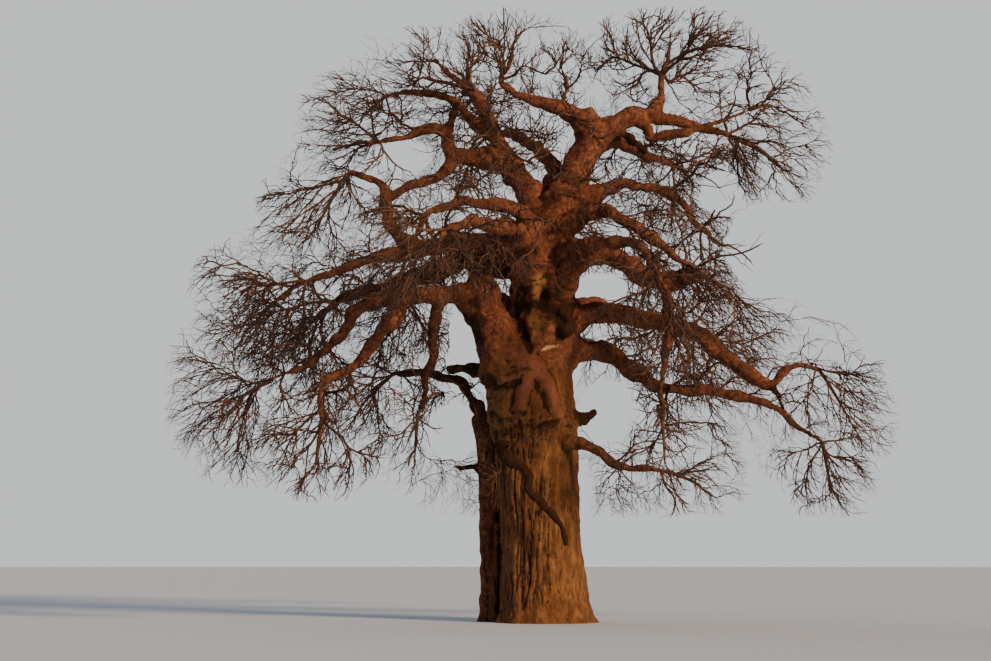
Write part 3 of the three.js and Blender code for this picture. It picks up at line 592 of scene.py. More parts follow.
def wood_gap(points, wood):
    """Distance from each point to the nearest wood, less than 0 inside it."""
    firsts = range(0, len(points), BATCH)
    return np.concatenate([gaps_to_pieces(points[k:k + BATCH], wood)[0].min(1) for k in firsts])


print("the eye is", wood_gap(np.array([EYE]), WOOD).round(1), "m from the wood")

# %% [markdown]
# ## The rule of growth
# The stem of a spray runs through the heart of its space. Branches leave it for points spread
# evenly around that space by the golden turn, and twigs leave the branches. A branch that would
# touch a limb or leave its space is tried shorter, and then left out.

# %% Stems of the sprays
STEM = {
    "thin": 0.92, "lead": 0.15, "bare": 1.7, "past": 0.45, "drop": 0.7, "tip": 0.35,
    "limb_step": 1.15, "limb_steps": 4, "clear": 0.0004,
}
WOOD_GAP = 0.03
UP = np.array([0, 0, 1.0])


def half_up(value):
    """The nearest whole number."""
    return int(value + 0.5)


def stem_of(name):
    """The stem of a spray: square to its limb's tip, then through the heart of its space."""
    spray = SPRAYS[name]
    limb = lines[spray["on"]]
    steps = max(STEM["limb_steps"], half_up(limb.length / STEM["limb_step"]))
    tip = limb.spot(1.0)
    ahead = unit(tip - limb.spot((steps - 1) / steps))
    start = tip + ahead * STEM["clear"]
    heart = seen(spray["heart"])
    end = heart + (heart - start) * STEM["past"] - UP * spray["hang"] * STEM["drop"]
    line = Line([start, start + ahead * STEM["lead"], heart, end])
    tip_radius = ALL_LIMBS[spray["on"]]["thick"][-1]
    bare = (STEM["bare"] * tip_radius + 2 * WOOD_GAP) / line.length
    return {"line": line, "bare": bare, "radius": tip_radius * STEM["thin"]}


def stem_radius(name, shares):
    """Radius along the stem of a spray."""
    return stems[name]["radius"] * (1 - (1 - STEM["tip"]) * shares)


stems = {name: stem_of(name) for name in SPRAYS}
print("longest stem", max(stem["line"].length for stem in stems.values()).round(2), "m")

# %% Spaces of the sprays
SPACE_GAP = 0.02
SPACE_SLACK = 1.02
HEARTS = np.array([seen(spray["heart"]) for spray in SPRAYS.values()])
ROOMS = np.array([spray["room"] for spray in SPRAYS.values()])
HANGS = np.array([spray["hang"] for spray in SPRAYS.values()])


def room_share(off, wide, tall):
    """0 at the heart of a rounded space, 1 on its edge, and more outside."""
    return (off[:, 0] ** 2 + off[:, 1] ** 2) / wide**2 + off[:, 2] ** 2 / tall**2


def in_space(points, radius, number):
    """Which points lie in the space of the spray with that number, which ends half way to the
    heart of the next one. The numbers are one for all the points or one for each."""
    number = np.broadcast_to(number, len(points))
    radius = np.broadcast_to(radius, len(points))
    off = points - HEARTS[number]
    inside = room_share(off, *ROOMS[number].T) <= SPACE_SLACK
    mine = (off**2).sum(1)
    for other, place in enumerate(HEARTS):
        between = np.linalg.norm(place - HEARTS[number], axis=1)
        past = (((points - place) ** 2).sum(1) - mine) / np.maximum(2 * between, 1e-9)
        inside &= (number == other) | (past > radius + SPACE_GAP)
    return inside


print("hearts in their own spaces", int(in_space(HEARTS, 0, np.arange(len(HEARTS))).sum()))

# %% Where a branch may go
BRANCH = {
    "crowd": 1.65, "steps": 3, "thin": 0.52, "reach": 0.94, "bow": 0.28, "wander": 0.11, "tip": 0.3,
    "hang": 0.25, "back": 0.6, "last": 0.92, "lift": 0.8, "turn_seed": 99,
}
SHRINKS = (1, 0.8, 0.62, 0.46)
TEST_STEP = 0.12
KNEE = 0.45


def touches(points, radius, blocked):
    """True if a line of points comes too near other wood."""
    tested = []
    for a, b in zip(points[:-1], points[1:]):
        count = math.ceil(np.linalg.norm(b - a) / TEST_STEP)
        tested.append(a + (b - a) * (np.arange(count + 1) / max(count, 1))[:, None])
    return bool((wood_gap(np.vstack(tested), blocked) < radius + WOOD_GAP).any())


def crooked_path(start, way, place, seed, rule):
    """Points of a branch to a place, bowed towards the way that it sets out, and crooked."""
    length = np.linalg.norm(place - start)
    knee = start + (place - start) * KNEE + way * rule["bow"] * length
    t = np.linspace(0, 1, rule["steps"] + 1)[:, None]
    points = start * (1 - t) ** 2 + knee * 2 * t * (1 - t) + place * t * t
    stray = sway(seed, np.arange(3 * len(t))).reshape(-1, 3)
    stray[[0, -1]] = 0
    return points + rule["wander"] * length * stray


print("a branch is tried at", SHRINKS, "of its length")

# %% Twigs of one branch
TWIG = {
    "count": 2, "thin": 0.55, "length": 0.42, "lean": 48, "from": 0.3, "seed": 50, "at": 0.35,
    "stray": 0.2, "lean_stray": 10, "hang": 0.5, "long": 1.2, "shorten": 0.5,
}


def twigs_on(number, line, radius, seed, blocked):
    """The source's own twigs of a branch: pairs of start and end, with a radius."""
    full = line.length * TWIG["length"]
    made = []
    for k in range(TWIG["count"]):
        own = mix(seed, TWIG["seed"] + k)
        place = k + TWIG["at"] + TWIG["stray"] * sway(own, 1)
        t = TWIG["from"] + (1 - TWIG["from"]) * place / TWIG["count"]
        start, along = line.spot(t), line.heading(t)
        out = np.array([sway(own, 2), sway(own, 3), sway(own, 4)])
        out = unit(out - along * (out @ along))
        lean = math.radians(TWIG["lean"] + TWIG["lean_stray"] * sway(own, 5))
        way = along * math.cos(lean) + out * math.sin(lean) - UP * TWIG["hang"] * HANGS[number]
        thick = radius * (1 - (1 - BRANCH["tip"]) * t) * TWIG["thin"]
        for shrink in SHRINKS:
            end = start + unit(way) * full * shrink * (TWIG["long"] - TWIG["shorten"] * t)
            ends = np.array([start, end])
            if in_space(ends, thick, number).all() and not touches(ends, thick, blocked):
                made.append((ends, thick))
                break
    return made


print("twigs on each branch of the source", TWIG["count"])

# %% Branches of one spray
GOLDEN_TURN = math.radians(137.5)


def branches_of(number, seed, blocked):
    """The branches of a spray and their twigs, each as its points and its radius at the root."""
    stem = stems[list(SPRAYS)[number]]
    line, heart, hang = stem["line"], HEARTS[number], HANGS[number]
    wide, tall = ROOMS[number]
    count = half_up(BRANCH["crowd"] * (wide + tall))
    made = []
    for k in range(count):
        own = mix(seed, k)
        rise = 1 - 2 * (k + 0.5) / count
        turn = GOLDEN_TURN * k + math.pi * sway(seed, BRANCH["turn_seed"])
        flat = math.sqrt(1 - rise * rise)
        off = np.array([
            wide * flat * math.cos(turn),
            wide * flat * math.sin(turn),
            tall * (rise - BRANCH["hang"] * hang * flat),
        ])
        for shrink in SHRINKS:
            place = heart + off * BRANCH["reach"] * shrink
            run = place - line.spot(0.0)
            forward = run @ line.heading(0.5) / line.length
            beside = math.sqrt(max(run @ run / line.length**2 - forward**2, 0))
            t = min(max(forward - BRANCH["back"] * beside, stem["bare"]), BRANCH["last"])
            way = unit(line.heading(t) + UP * BRANCH["lift"] * hang)
            points = crooked_path(line.spot(t), way, place, own, BRANCH)
            thick = stem["radius"] * (1 - (1 - STEM["tip"]) * t) * BRANCH["thin"]
            if in_space(points[1:], thick, number).all() and not touches(points, thick, blocked):
                made += [(points, thick), *twigs_on(number, Line(points), thick, own, blocked)]
                break
    return made


branches = {}
for number, name in enumerate(SPRAYS):
    strangers = [
        capsules(other["line"], lambda share: other["radius"])
        for other_name, other in stems.items()
        if other_name != name
    ]
    branches[name] = branches_of(number, mix(7, number), np.vstack([WOOD, *strangers]))
print("branches and twigs of the source", sum(len(made) for made in branches.values()))

# %% [markdown]
# ## Tubes
# All the wood is made of tubes. A tube is a row of rings, each square to the line and turned as
# little as possible from the ring before, so that it doesn't twist. They are made as whole arrays
# of numbers, many tubes at once, because adding them one vertex at a time would take minutes.

# %% Directions across a tube
STEEP = 0.9


def frames_along(points):
    """Two directions across each point of many lines (lines, points, 3)."""
    ahead = np.empty_like(points)
    ahead[:, 1:-1] = points[:, 2:] - points[:, :-2]
    ahead[:, 0] = points[:, 1] - points[:, 0]
    ahead[:, -1] = points[:, -1] - points[:, -2]
    ahead = unit(ahead)
    steep = np.abs(ahead[:, 0, 2:]) > STEEP
    across = np.where(steep, [1.0, 0, 0], UP)
    acrosses = []
    for i in range(points.shape[1]):
        across = unit(across - ahead[:, i] * (across * ahead[:, i]).sum(1, keepdims=True))
        acrosses.append(across)
    acrosses = np.stack(acrosses, 1)
    return acrosses, np.cross(ahead, acrosses)


print("across an upright line", frames_along(np.array([[UP, 2 * UP]]))[0][0, 0])

# %% Arrays of tubes
def ring_faces(rings, sides):
    """Faces between the rings of one tube, as triangles."""
    r, s = np.meshgrid(np.arange(rings - 1), np.arange(sides), indexing="ij")
    a = (r * sides + s).ravel()
    b = (r * sides + (s + 1) % sides).ravel()
    return np.concatenate([
        np.stack([a, b, b + sides], 1),
        np.stack([a, b + sides, a + sides], 1),
    ])


def pointed_tubes(points, radii, sides, turn):
    """Vertices and triangles of many tubes that end in a point and are open at the root."""
    count, length = radii.shape
    across, beside = frames_along(points)
    angle = turn[:, None] + 2 * math.pi * np.arange(sides) / sides
    out = (
        across[:, :-1, None] * np.cos(angle)[:, None, :, None]
        + beside[:, :-1, None] * np.sin(angle)[:, None, :, None]
    )
    rings = points[:, :-1, None] + out * radii[:, :-1, None, None]
    rings = rings.reshape(count, (length - 1) * sides, 3)
    vertices = np.concatenate([rings, points[:, -1:]], 1)
    last = (length - 2) * sides
    s = np.arange(sides)
    point = np.full(sides, (length - 1) * sides)
    tip = np.stack([last + s, last + (s + 1) % sides, point], 1)
    faces = np.concatenate([ring_faces(length - 1, sides), tip])
    starts = np.arange(count) * vertices.shape[1]
    return vertices.reshape(-1, 3), (faces[None] + starts[:, None, None]).reshape(-1, 3)


print("a tube of 4 rings and 3 sides has", len(ring_faces(4, 3)), "faces")


# %% From arrays to a piece
def mesh_piece(name, vertices, faces):
    """A mesh object of these arrays. It rides on the tree's one body."""
    mesh = bpy.data.meshes.new(name)
    corners = faces.shape[1]
    mesh.vertices.add(len(vertices))
    mesh.vertices.foreach_set("co", np.ascontiguousarray(vertices, np.float32).ravel())
    mesh.loops.add(faces.size)
    mesh.loops.foreach_set("vertex_index", np.ascontiguousarray(faces, np.int32).ravel())
    mesh.polygons.add(len(faces))
    mesh.polygons.foreach_set("loop_start", np.arange(0, faces.size, corners, dtype=np.int32))
    mesh.update(calc_edges=True)
    mesh.shade_smooth()
    piece = place_object(name, mesh)
    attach(piece, "root")
    return piece


# %% [markdown]
# ## The raw shape of the wood
# Trunk, stems and boughs are first made as rough closed tubes that run into each other. A limb
# swells where it leaves its parent and at its knots, and its line strays in long bends and short
# kinks, because old wood is never straight. The trunk's rings carry the broad folds. Wood less
# than 13 cm thick is left to the twigs further on, because the skin would lose it.

# %% Rough tubes of the standing stems
RING_STEP = 0.11
UNDER_GROUND = 0.4
TRUNK_SIDES = 120
ROUNDING = np.radians((25, 50, 75))
DOME = 0.35
raw_vertices, raw_faces = [], []


def add_raw(rings):
    """Adds a closed tube of rings (rings, sides, 3), with its ends closed by fans."""
    count, sides = rings.shape[:2]
    start = sum(len(part) for part in raw_vertices)
    middles = np.stack([rings[0].mean(0), rings[-1].mean(0)])
    raw_vertices.append(np.vstack([rings.reshape(-1, 3), middles]))
    s = np.arange(sides)
    foot = np.stack([(s + 1) % sides, s, np.full(sides, count * sides)], 1)
    last = (count - 1) * sides
    head = np.stack([last + s, last + (s + 1) % sides, np.full(sides, count * sides + 1)], 1)
    raw_faces.append(np.concatenate([ring_faces(count, sides), foot, head]) + start)


def level_ring(folds, height, left, right, depth):
    """Ring of a standing stem: a circle with its folds, drawn out to its left and right edges."""
    bearing = np.arange(TRUNK_SIDES) * 360 / TRUNK_SIDES
    out = np.ones(TRUNK_SIDES)
    for place, stand, width, foot in folds:
        off = (bearing - place + 540) % 360 - 180
        stand = stand + foot * math.exp(-max(height, 0) / FOOT_HEIGHT)
        out += stand * np.exp(-((off / width) ** 2))
    x = out * np.cos(np.radians(bearing))
    y = out * np.sin(np.radians(bearing))
    scale = (right - left) / (x.max() - x.min())
    level = np.full(TRUNK_SIDES, height)
    return np.stack([left + (x - x.min()) * scale, depth + ROUND * y * scale, level], 1)


for name, stem in STANDING.items():
    sizes = np.array(stem["rings"])
    top = sizes[-1, 0]
    rings = []
    for height in [-UNDER_GROUND, *np.arange(0, top, RING_STEP), top]:
        edges = (np.interp(height, sizes[:, 0], sizes[:, k]) for k in (1, 2, 3))
        rings.append(level_ring(stem["folds"], height, *edges))
    edge = rings[-1]
    middle = edge.mean(0)
    half = (sizes[-1, 2] - sizes[-1, 1]) / 2
    for angle in ROUNDING:
        rings.append(middle + (edge - middle) * math.cos(angle) + UP * DOME * half * math.sin(angle))
    add_raw(np.array(rings))
print("standing stems", len(raw_vertices))

# %% How thick a limb is
COLLAR = 0.32
STOUT_COLLAR = 0.06
COLLAR_FADE = (1.2, 0.05)
STANDING_REACH = {"trunk": 1.1, "back_stem": 0.35}
STOUT_STEMS = ("left_stem", "main_stem", "leader_left")
THINNEST_SKIN = 0.065


def limb_radius(name, shares):
    """Radius along a limb, swollen where it leaves the wood that it springs from."""
    limb = ALL_LIMBS[name]
    parent = limb["from"]
    reach = STANDING_REACH.get(parent)
    if reach is None:
        reach = spread(ALL_LIMBS[parent]["thick"], limb["at"])
    past = np.maximum(shares * lines[name].length - reach, 0)
    collar = STOUT_COLLAR if name in STOUT_STEMS else COLLAR
    swell = collar * np.exp(-past / (COLLAR_FADE[0] * limb["thick"][0] + COLLAR_FADE[1]))
    return spread(limb["thick"], shares) * (1 + swell)


def thick_share(radius_of):
    """Share of the length at which the wood gets too thin for the skin."""
    shares = np.linspace(0, 1, 101)
    thick = radius_of(shares) > THINNEST_SKIN
    return 1.0 if thick.all() else shares[int(thick.argmin())]


print("main stem at its root", limb_radius("main_stem", 0.0).round(2), "m")

# %% Crooked tubes
SIDE_STEP = 0.09
FEWEST_SIDES, MOST_SIDES = 10, 48
FEWEST_RINGS = 6
STRAY = 0.62
STRAY_LENGTH = 4.2
KINK = 0.4
KINK_LENGTH = 1.5
END_FADE = 0.15
SLIM = 0.9
KNOT = 0.34
KNOT_STEP = 6.5
LUMP = 0.19
LUMP_LENGTH = 0.42


def swellings(reach, seed):
    """Knots along a limb, at uneven places. Places are counted in radii of the limb."""
    total = 0
    for k in range(int(reach[-1] / KNOT_STEP)):
        place = KNOT_STEP * (k + 0.5 + 0.3 * sway(seed, k))
        total = total + (0.6 + 0.4 * sway(seed, 41 + k)) * np.exp(-((reach - place) ** 2))
    return total


def add_limb(line, radius_of, seed, last=1.0, stray=STRAY, lump=LUMP):
    """Adds a rough limb with a round end along a line, up to a share of its length."""
    count = max(FEWEST_RINGS, half_up(line.length * last / RING_STEP))
    shares = last * np.arange(count + 1) / count
    points = line.spot(shares)
    radii = radius_of(shares)
    sides = int(np.clip(2 * math.pi * radii.max() / SIDE_STEP, FEWEST_SIDES, MOST_SIDES))
    reach = shares[:, None] * line.length / radii.mean() * [1, 0, 0]
    bends, kinks = (
        np.stack([noise(reach / length + 31.7 * k, seed + 5 * k) for k in range(3)], 1)
        for length in (STRAY_LENGTH, KINK_LENGTH)
    )
    fade = smooth_step(0, END_FADE * last, shares)
    fade = fade * (1 - smooth_step((1 - END_FADE) * last, last, shares))
    points = points + (bends + KINK * kinks) * (stray * radii * fade)[:, None]
    bare = min(stray / STRAY, 1) * fade
    radii = radii * (1 + bare * (SLIM - 1 + KNOT * swellings(reach[:, 0], seed)))
    across, beside = (part[0] for part in frames_along(points[None]))
    angle = 2 * math.pi * np.arange(sides) / sides
    out = across[:, None] * np.cos(angle)[:, None] + beside[:, None] * np.sin(angle)[:, None]
    places = (points[:, None] + out * radii[:, None, None]).reshape(-1, 3)
    lumps = rough_noise(places / LUMP_LENGTH, seed, 2).reshape(-1, sides)
    rings = points[:, None] + out * (radii[:, None] * (1 + lump * lumps))[..., None]
    ahead = unit(points[-1] - points[-2])
    caps = [
        points[-1] + (rings[-1] - points[-1]) * math.cos(a) + ahead * radii[-1] * math.sin(a)
        for a in ROUNDING
    ]
    add_raw(np.concatenate([rings, np.array(caps)]))


print("swellings along a limb of 30 radii", swellings(np.linspace(0, 30, 4), 1).round(2))

# %% Rough tubes of the limbs
CROOKEDNESS = {name: {"stray": 0.12} for name in STOUT_STEMS}
CROOKEDNESS["bough_front_hanger"] = {"stray": 1.1, "lump": 0.42}
LIMB_SEED, STEM_SEED = 100, 300
limb_ends = {}
for number, name in enumerate(ALL_LIMBS):
    radius_of = partial(limb_radius, name)
    limb_ends[name] = thick_share(radius_of)
    habit = CROOKEDNESS.get(name, {})
    add_limb(lines[name], radius_of, LIMB_SEED + number, limb_ends[name], **habit)
stem_ends = dict.fromkeys(stems, 0.0)
for number, (name, stem) in enumerate(stems.items()):
    if limb_ends[SPRAYS[name]["on"]] == 1 and stem["radius"] >= THINNEST_SKIN:
        radius_of = partial(stem_radius, name)
        stem_ends[name] = thick_share(radius_of)
        add_limb(stem["line"], radius_of, STEM_SEED + number, stem_ends[name])
print("rough tubes", len(raw_vertices), "with", sum(map(len, raw_faces)), "faces")

# %% [markdown]
# ## From the tree back to the eye
# The folds and scars on the front of the trunk are placed by what the eye reads. So every point
# of the bark is asked where the eye reads it, and takes the mark that is drawn there.

# %% Reading points by eye
def read_by_eye(points):
    """Side and height that the eye reads for each point."""
    away = -EYE.y
    lift = np.arctan((points[:, 2] - EYE.z) / (points[:, 1] + away)) - EYE_TILT
    rise = away * np.tan(lift)
    level = away * math.cos(EYE_TILT) - rise * math.sin(EYE_TILT)
    side = EYE.x + (points[:, 0] - EYE.x) * level / (away + points[:, 1])
    return np.stack([side, rise + AXIS_HEIGHT], 1)


print("there and back again", read_by_eye(seen([0.05, 7.2, 0.4])[None]).round(3))

# %% [markdown]
# ## Stumps, burls and knots
# An old tree has lost limbs. Their stumps are short tubes that start inside the wood and run to
# where the limb broke off, and the burls and knots are the same, only shorter and thicker.

# %% Stumps
STUMPS = {
    "burl_right": ([(0.9, 6.0, -0.1), (1.4, 6.02, -0.15), (1.72, 6.12, -0.15)], [0.36, 0.25, 0.16]),
    "stub_left": ([(-1.2, 7.4, 0.2), (-1.9, 7.42, 0.2), (-2.5, 7.46, 0.25)], [0.2, 0.14, 0.12]),
    "stub_back": ([(-1.3, 4.55, 0.7), (-1.9, 4.55, 0.7), (-2.35, 4.57, 0.7)], [0.16, 0.11, 0.1]),
    "stub_top": ([(2.1, 14.5, 0), (2.8, 14.2, -0.2), (3.25, 13.85, -0.3)], [0.2, 0.14, 0.11]),
    "stub_low": ([(6.7, 7.15, -1.6), (7.05, 6.75, -1.6), (7.3, 6.3, -1.6)], [0.16, 0.12, 0.1]),
    "knot_right": ([(4.2, 10.05, -2.75), (4.45, 10.12, -2.9), (4.6, 10.2, -3.0)], [0.3, 0.27, 0.2]),
    "stub_crown": ([(-1.7, 9.7, -0.35), (-1.75, 10.25, -0.5), (-1.6, 10.7, -0.6)], [0.36, 0.26, 0.17]),
    "leader_knot": ([(-2.6, 14.3, 0), (-2.45, 14.75, 0), (-2.3, 15.2, 0)], [0.2, 0.12, 0.08]),
    "main_burl": ([(0.75, 9.0, -0.6), (0.95, 8.8, -0.95), (0.9, 8.55, -1.0)], [0.25, 0.24, 0.12]),
}
STUMP_HABIT = {"stray": 0.3, "lump": 0.5}
STUMP_SEED = 600
for number, (route, thick) in enumerate(STUMPS.values()):
    line = Line([seen(spot) for spot in route])
    add_limb(line, partial(spread, thick), STUMP_SEED + number, **STUMP_HABIT)
print(len(STUMPS), "stumps")

# %% [markdown]
# ## One skin over all the wood
# The rough tubes only run into each other. A voxel remesh fills the space with small cubes, asks
# which lie inside the wood, and draws one skin round them. After it the forks are one surface,
# with no edge where one tube enters another. Then the skin is relaxed: each point moves
# towards its neighbours, more in a hollow than on a crest, which fills every fork as growing wood
# does.

# %% Voxel skin
SKIN_STEP = 0.048
raw_mesh = bpy.data.meshes.new("rough_wood")
raw_mesh.from_pydata(np.vstack(raw_vertices).tolist(), [], np.vstack(raw_faces).tolist())
raw_wood = place_object("rough_wood", raw_mesh)
remesh = raw_wood.modifiers.new("skin", "REMESH")
remesh.mode = "VOXEL"
remesh.voxel_size = SKIN_STEP
skin_mesh = raw_wood.evaluated_get(bpy.context.evaluated_depsgraph_get()).to_mesh()
skin = np.empty(len(skin_mesh.vertices) * 3)
skin_mesh.vertices.foreach_get("co", skin)
skin = skin.reshape(-1, 3)
quads = np.empty(len(skin_mesh.loops), np.int64)
skin_mesh.loops.foreach_get("vertex_index", quads)
quads = quads.reshape(-1, 4)
raw_wood.to_mesh_clear()
bpy.data.objects.remove(raw_wood)
print("skin", len(skin), "points,", len(quads), "faces")

# %% Relaxing the skin
HOLLOW_PULL = 0.6
CREST_PULL = 0.12
HOLLOW_DEPTH = 0.004
RELAX_ROUNDS = 15
edges = np.concatenate([quads[:, [k, (k + 1) % 4]] for k in range(4)])
edges = np.unique(np.sort(edges, axis=1), axis=0)
ends = np.concatenate([edges[:, 0], edges[:, 1]])
others = np.concatenate([edges[:, 1], edges[:, 0]])
neighbours = np.bincount(ends, minlength=len(skin))[:, None]


def around(values):
    """Mean of the neighbours' values at each point of the skin."""
    values = values.reshape(len(skin), -1)
    sums = [np.bincount(ends, values[others, k], len(skin)) for k in range(values.shape[1])]
    return np.stack(sums, 1) / neighbours


def outward(points):
    """Unit directions out of the skin at its points."""
    a, b, c, d = (points[quads[:, k]] for k in range(4))
    face_ways = np.cross(c - a, d - b)
    ways = [
        sum(np.bincount(quads[:, k], face_ways[:, axis], len(points)) for k in range(4))
        for axis in range(3)
    ]
    return unit(np.stack(ways, 1))


def blurred(values, rounds):
    """Values that are shared out with their neighbours a few times."""
    for _ in range(rounds):
        values = around(values)[:, 0]
    return values


for _ in range(RELAX_ROUNDS):
    pull = around(skin) - skin
    hollow = smooth_step(0, HOLLOW_DEPTH, (pull * outward(skin)).sum(1, keepdims=True))
    skin = skin + pull * (CREST_PULL + (HOLLOW_PULL - CREST_PULL) * hollow)
print("relaxed", RELAX_ROUNDS, "times")

# %% [markdown]
# ## Which limb a point belongs to
# The bark of a limb runs along the limb: its streaks are long, and its wrinkles go round it like
# rings. So every point of the skin has to know its limb, how far along it lies and how thick the
# limb is there. Where two limbs are about equally near, their own patterns fade out, and no
# seam shows.

# %% Nearest limb
ALONE_GAP = (0.03, 0.3)
SHARING_ROUNDS = 6
WOOD_ORDER = list(dict.fromkeys(wood_names))
group_starts = [int(np.argmax(wood_names == name)) for name in WOOD_ORDER]
wood_runs = WOOD[:, 3:6] - WOOD[:, :3]
piece_lengths = np.linalg.norm(wood_runs, axis=1)
piece_from = np.concatenate([
    np.concatenate([[0], np.cumsum(piece_lengths[wood_names == name])[:-1]]) for name in WOOD_ORDER
])

limb_of = np.empty(len(skin), int)
alone, along, thickness = np.empty((3, len(skin)))
limb_way, from_axis = np.empty((2, len(skin), 3))
for first in range(0, len(skin), BATCH):
    some = slice(first, first + BATCH)
    gaps, shares = gaps_to_pieces(skin[some], WOOD)
    by_limb = np.minimum.reduceat(gaps, group_starts, axis=1)
    two = np.sort(by_limb, axis=1)[:, :2]
    alone[some] = smooth_step(*ALONE_GAP, two[:, 1] - two[:, 0])
    limb_of[some] = by_limb.argmin(1)
    nearest = gaps.argmin(1)
    share = shares[np.arange(len(nearest)), nearest]
    along[some] = piece_from[nearest] + share * piece_lengths[nearest]
    thickness[some] = WOOD[nearest, 6]
    limb_way[some] = unit(wood_runs[nearest])
    from_axis[some] = skin[some] - (WOOD[nearest, :3] + wood_runs[nearest] * share[:, None])
thickness = blurred(thickness, SHARING_ROUNDS)
for _ in range(SHARING_ROUNDS):
    alone = np.minimum(alone, around(alone)[:, 0])


def on_limbs(names):
    """Which points of the skin belong to the named limbs."""
    return np.isin(limb_of, [WOOD_ORDER.index(name) for name in names])


print("points alone on their limb", round(float((alone > 0.5).mean()), 2))

# %% [markdown]
# ## The relief of the bark
# A baobab's bark is soft and grey-brown to copper, pleated like cloth round the old trunk, pitted
# where it has healed, and almost smooth on the younger limbs. A bump in the material would only
# shade that. Here every point of the skin is moved along its own outward direction, so the pleats
# show in the outline and in the shadows too. Finer grain is left to the material.
#
# A fold is a ridge along a route that the eye reads, with its half width and its height at each of
# the route's points. Where the fork's two arms were squeezed together, the wood has welded into a
# smooth crossed fold with two legs, and a thick lip hangs under the left arm. A crease is cut
# along its route instead, with one half width and one depth.

# %% Folds
FOLDS = {
    "left_leg": (
        [(0.08, 7.45), (-0.16, 7.15), (-0.34, 6.75), (-0.42, 6.35), (-0.52, 5.9)],
        [0.34, 0.3, 0.25, 0.23, 0.18], [0.1, 0.13, 0.12, 0.09, 0.02],
    ),
    "right_leg": (
        [(-0.02, 7.45), (0.25, 7.18), (0.46, 6.8), (0.61, 6.4), (0.8, 5.95)],
        [0.34, 0.28, 0.22, 0.2, 0.16], [0.1, 0.14, 0.13, 0.1, 0.02],
    ),
    "left_arm": (
        [(0.05, 7.4), (-0.25, 7.7), (-0.6, 8.2), (-0.95, 8.9)],
        [0.32, 0.42, 0.5, 0.5], [0.1, 0.12, 0.1, 0.03],
    ),
    "right_column": (
        [(0.75, 7.4), (0.95, 8.2), (0.98, 8.7)],
        [0.3, 0.4, 0.34], [0.02, 0.08, 0.06],
    ),
    "high_column": (
        [(0.85, 9.25), (0.75, 9.9), (0.6, 10.6)],
        [0.3, 0.36, 0.3], [0.06, 0.12, 0.04],
    ),
    "lip": (
        [(-1.42, 7.3), (-1.1, 7.18), (-0.7, 7.16), (-0.38, 7.35), (-0.12, 7.6)],
        [0.12, 0.2, 0.25, 0.24, 0.14], [0.0, 0.07, 0.12, 0.1, 0.04],
    ),
    "knee": (
        [(0.0, 6.4), (0.05, 6.15), (0.02, 6.0)],
        [0.08, 0.16, 0.14], [0.02, 0.07, 0.05],
    ),
    "stem_ring": (
        [(0.35, 12.55), (0.8, 12.75), (1.4, 12.5)],
        [0.12, 0.17, 0.12], [0.05, 0.08, 0.04],
    ),
    "stem_ring_low": (
        [(0.1, 11.65), (0.6, 11.8), (1.15, 11.6)],
        [0.12, 0.17, 0.12], [0.05, 0.08, 0.04],
    ),
}
TRUNK_STEMS = ["trunk", "back_stem", "left_stem", "main_stem"]
FACING = (0.0, 0.3)
WOBBLE = 0.045
FOLD_ROUNDING = 0.8
ROSY_REACH = (0.2, 1.1)
ROSY_TOP = (7.6, 8.4)


def near_route(flat, route):
    """Distance from flat places to a broken line, and how far along it they are, from 0 to 1."""
    route = np.array(route)
    least = np.full(len(flat), np.inf)
    found = np.zeros(len(flat))
    for k, (a, b) in enumerate(zip(route[:-1], route[1:])):
        run = b - a
        share = np.clip((flat - a) @ run / (run @ run), 0, 1)
        off = np.linalg.norm(flat - a - share[:, None] * run, axis=1)
        found = np.where(off < least, (k + share) / (len(route) - 1), found)
        least = np.minimum(off, least)
    return least, found


out = outward(skin)
read = read_by_eye(skin)
in_front = smooth_step(*FACING, -out[:, 1])
in_front *= on_limbs(TRUNK_STEMS)
wobble = WOBBLE * rough_noise(skin / 0.4, 90, 2)
ridge, rosy = np.zeros((2, len(skin)))
for name, (route, half, height) in FOLDS.items():
    off, share = near_route(read, route)
    off = (off + wobble) / spread(half, share)
    stand = spread(height, share) * np.clip(1 - off**2, 0, 1) ** FOLD_ROUNDING * in_front
    ridge = np.maximum(ridge, stand)
    if name.endswith(("leg", "arm")):
        fading = 1 - smooth_step(*ROSY_TOP, read[:, 1])
        rosy = np.maximum(rosy, (1 - smooth_step(*ROSY_REACH, off)) * in_front * fading)
print("ridges up to", round(float(ridge.max()), 3), "m")

# %% Creases
CREASES = {
    "between_legs": ([(0.06, 7.0), (0.1, 6.85), (0.26, 6.5), (0.42, 6.1)], 0.06, 0.07),
    "under_lip": ([(-1.36, 7.02), (-1.05, 6.92), (-0.68, 6.88), (-0.45, 7.02)], 0.09, 0.08),
    "fork_gap": ([(-0.85, 9.9), (-0.66, 9.3), (-0.36, 8.5), (-0.12, 7.95)], 0.12, 0.15),
    "stem_hollow": ([(0.37, 10.1), (0.24, 9.7), (0.32, 9.3), (0.74, 8.97), (1.25, 8.85)], 0.17, 0.16),
    "stem_furrow": ([(-1.1, 0.3), (-1.06, 2.2), (-1.08, 4.2), (-1.2, 5.6)], 0.07, 0.1),
    "pleat_left": ([(-0.55, 0.9), (-0.5, 2.4), (-0.62, 4.0), (-0.5, 5.5)], 0.03, 0.05),
    "pleat_middle": ([(-0.2, 1.0), (-0.12, 2.6), (-0.2, 4.0), (-0.1, 5.4)], 0.03, 0.045),
    "pleat_near": ([(-0.38, 0.4), (-0.32, 1.8), (-0.38, 3.1), (-0.3, 4.3)], 0.03, 0.045),
    "pleat_right": ([(0.2, 3.0), (0.14, 4.0), (0.3, 4.9), (0.5, 5.6)], 0.025, 0.03),
}
LEAST_CREASE = 0.35
crease_depth = np.zeros(len(skin))
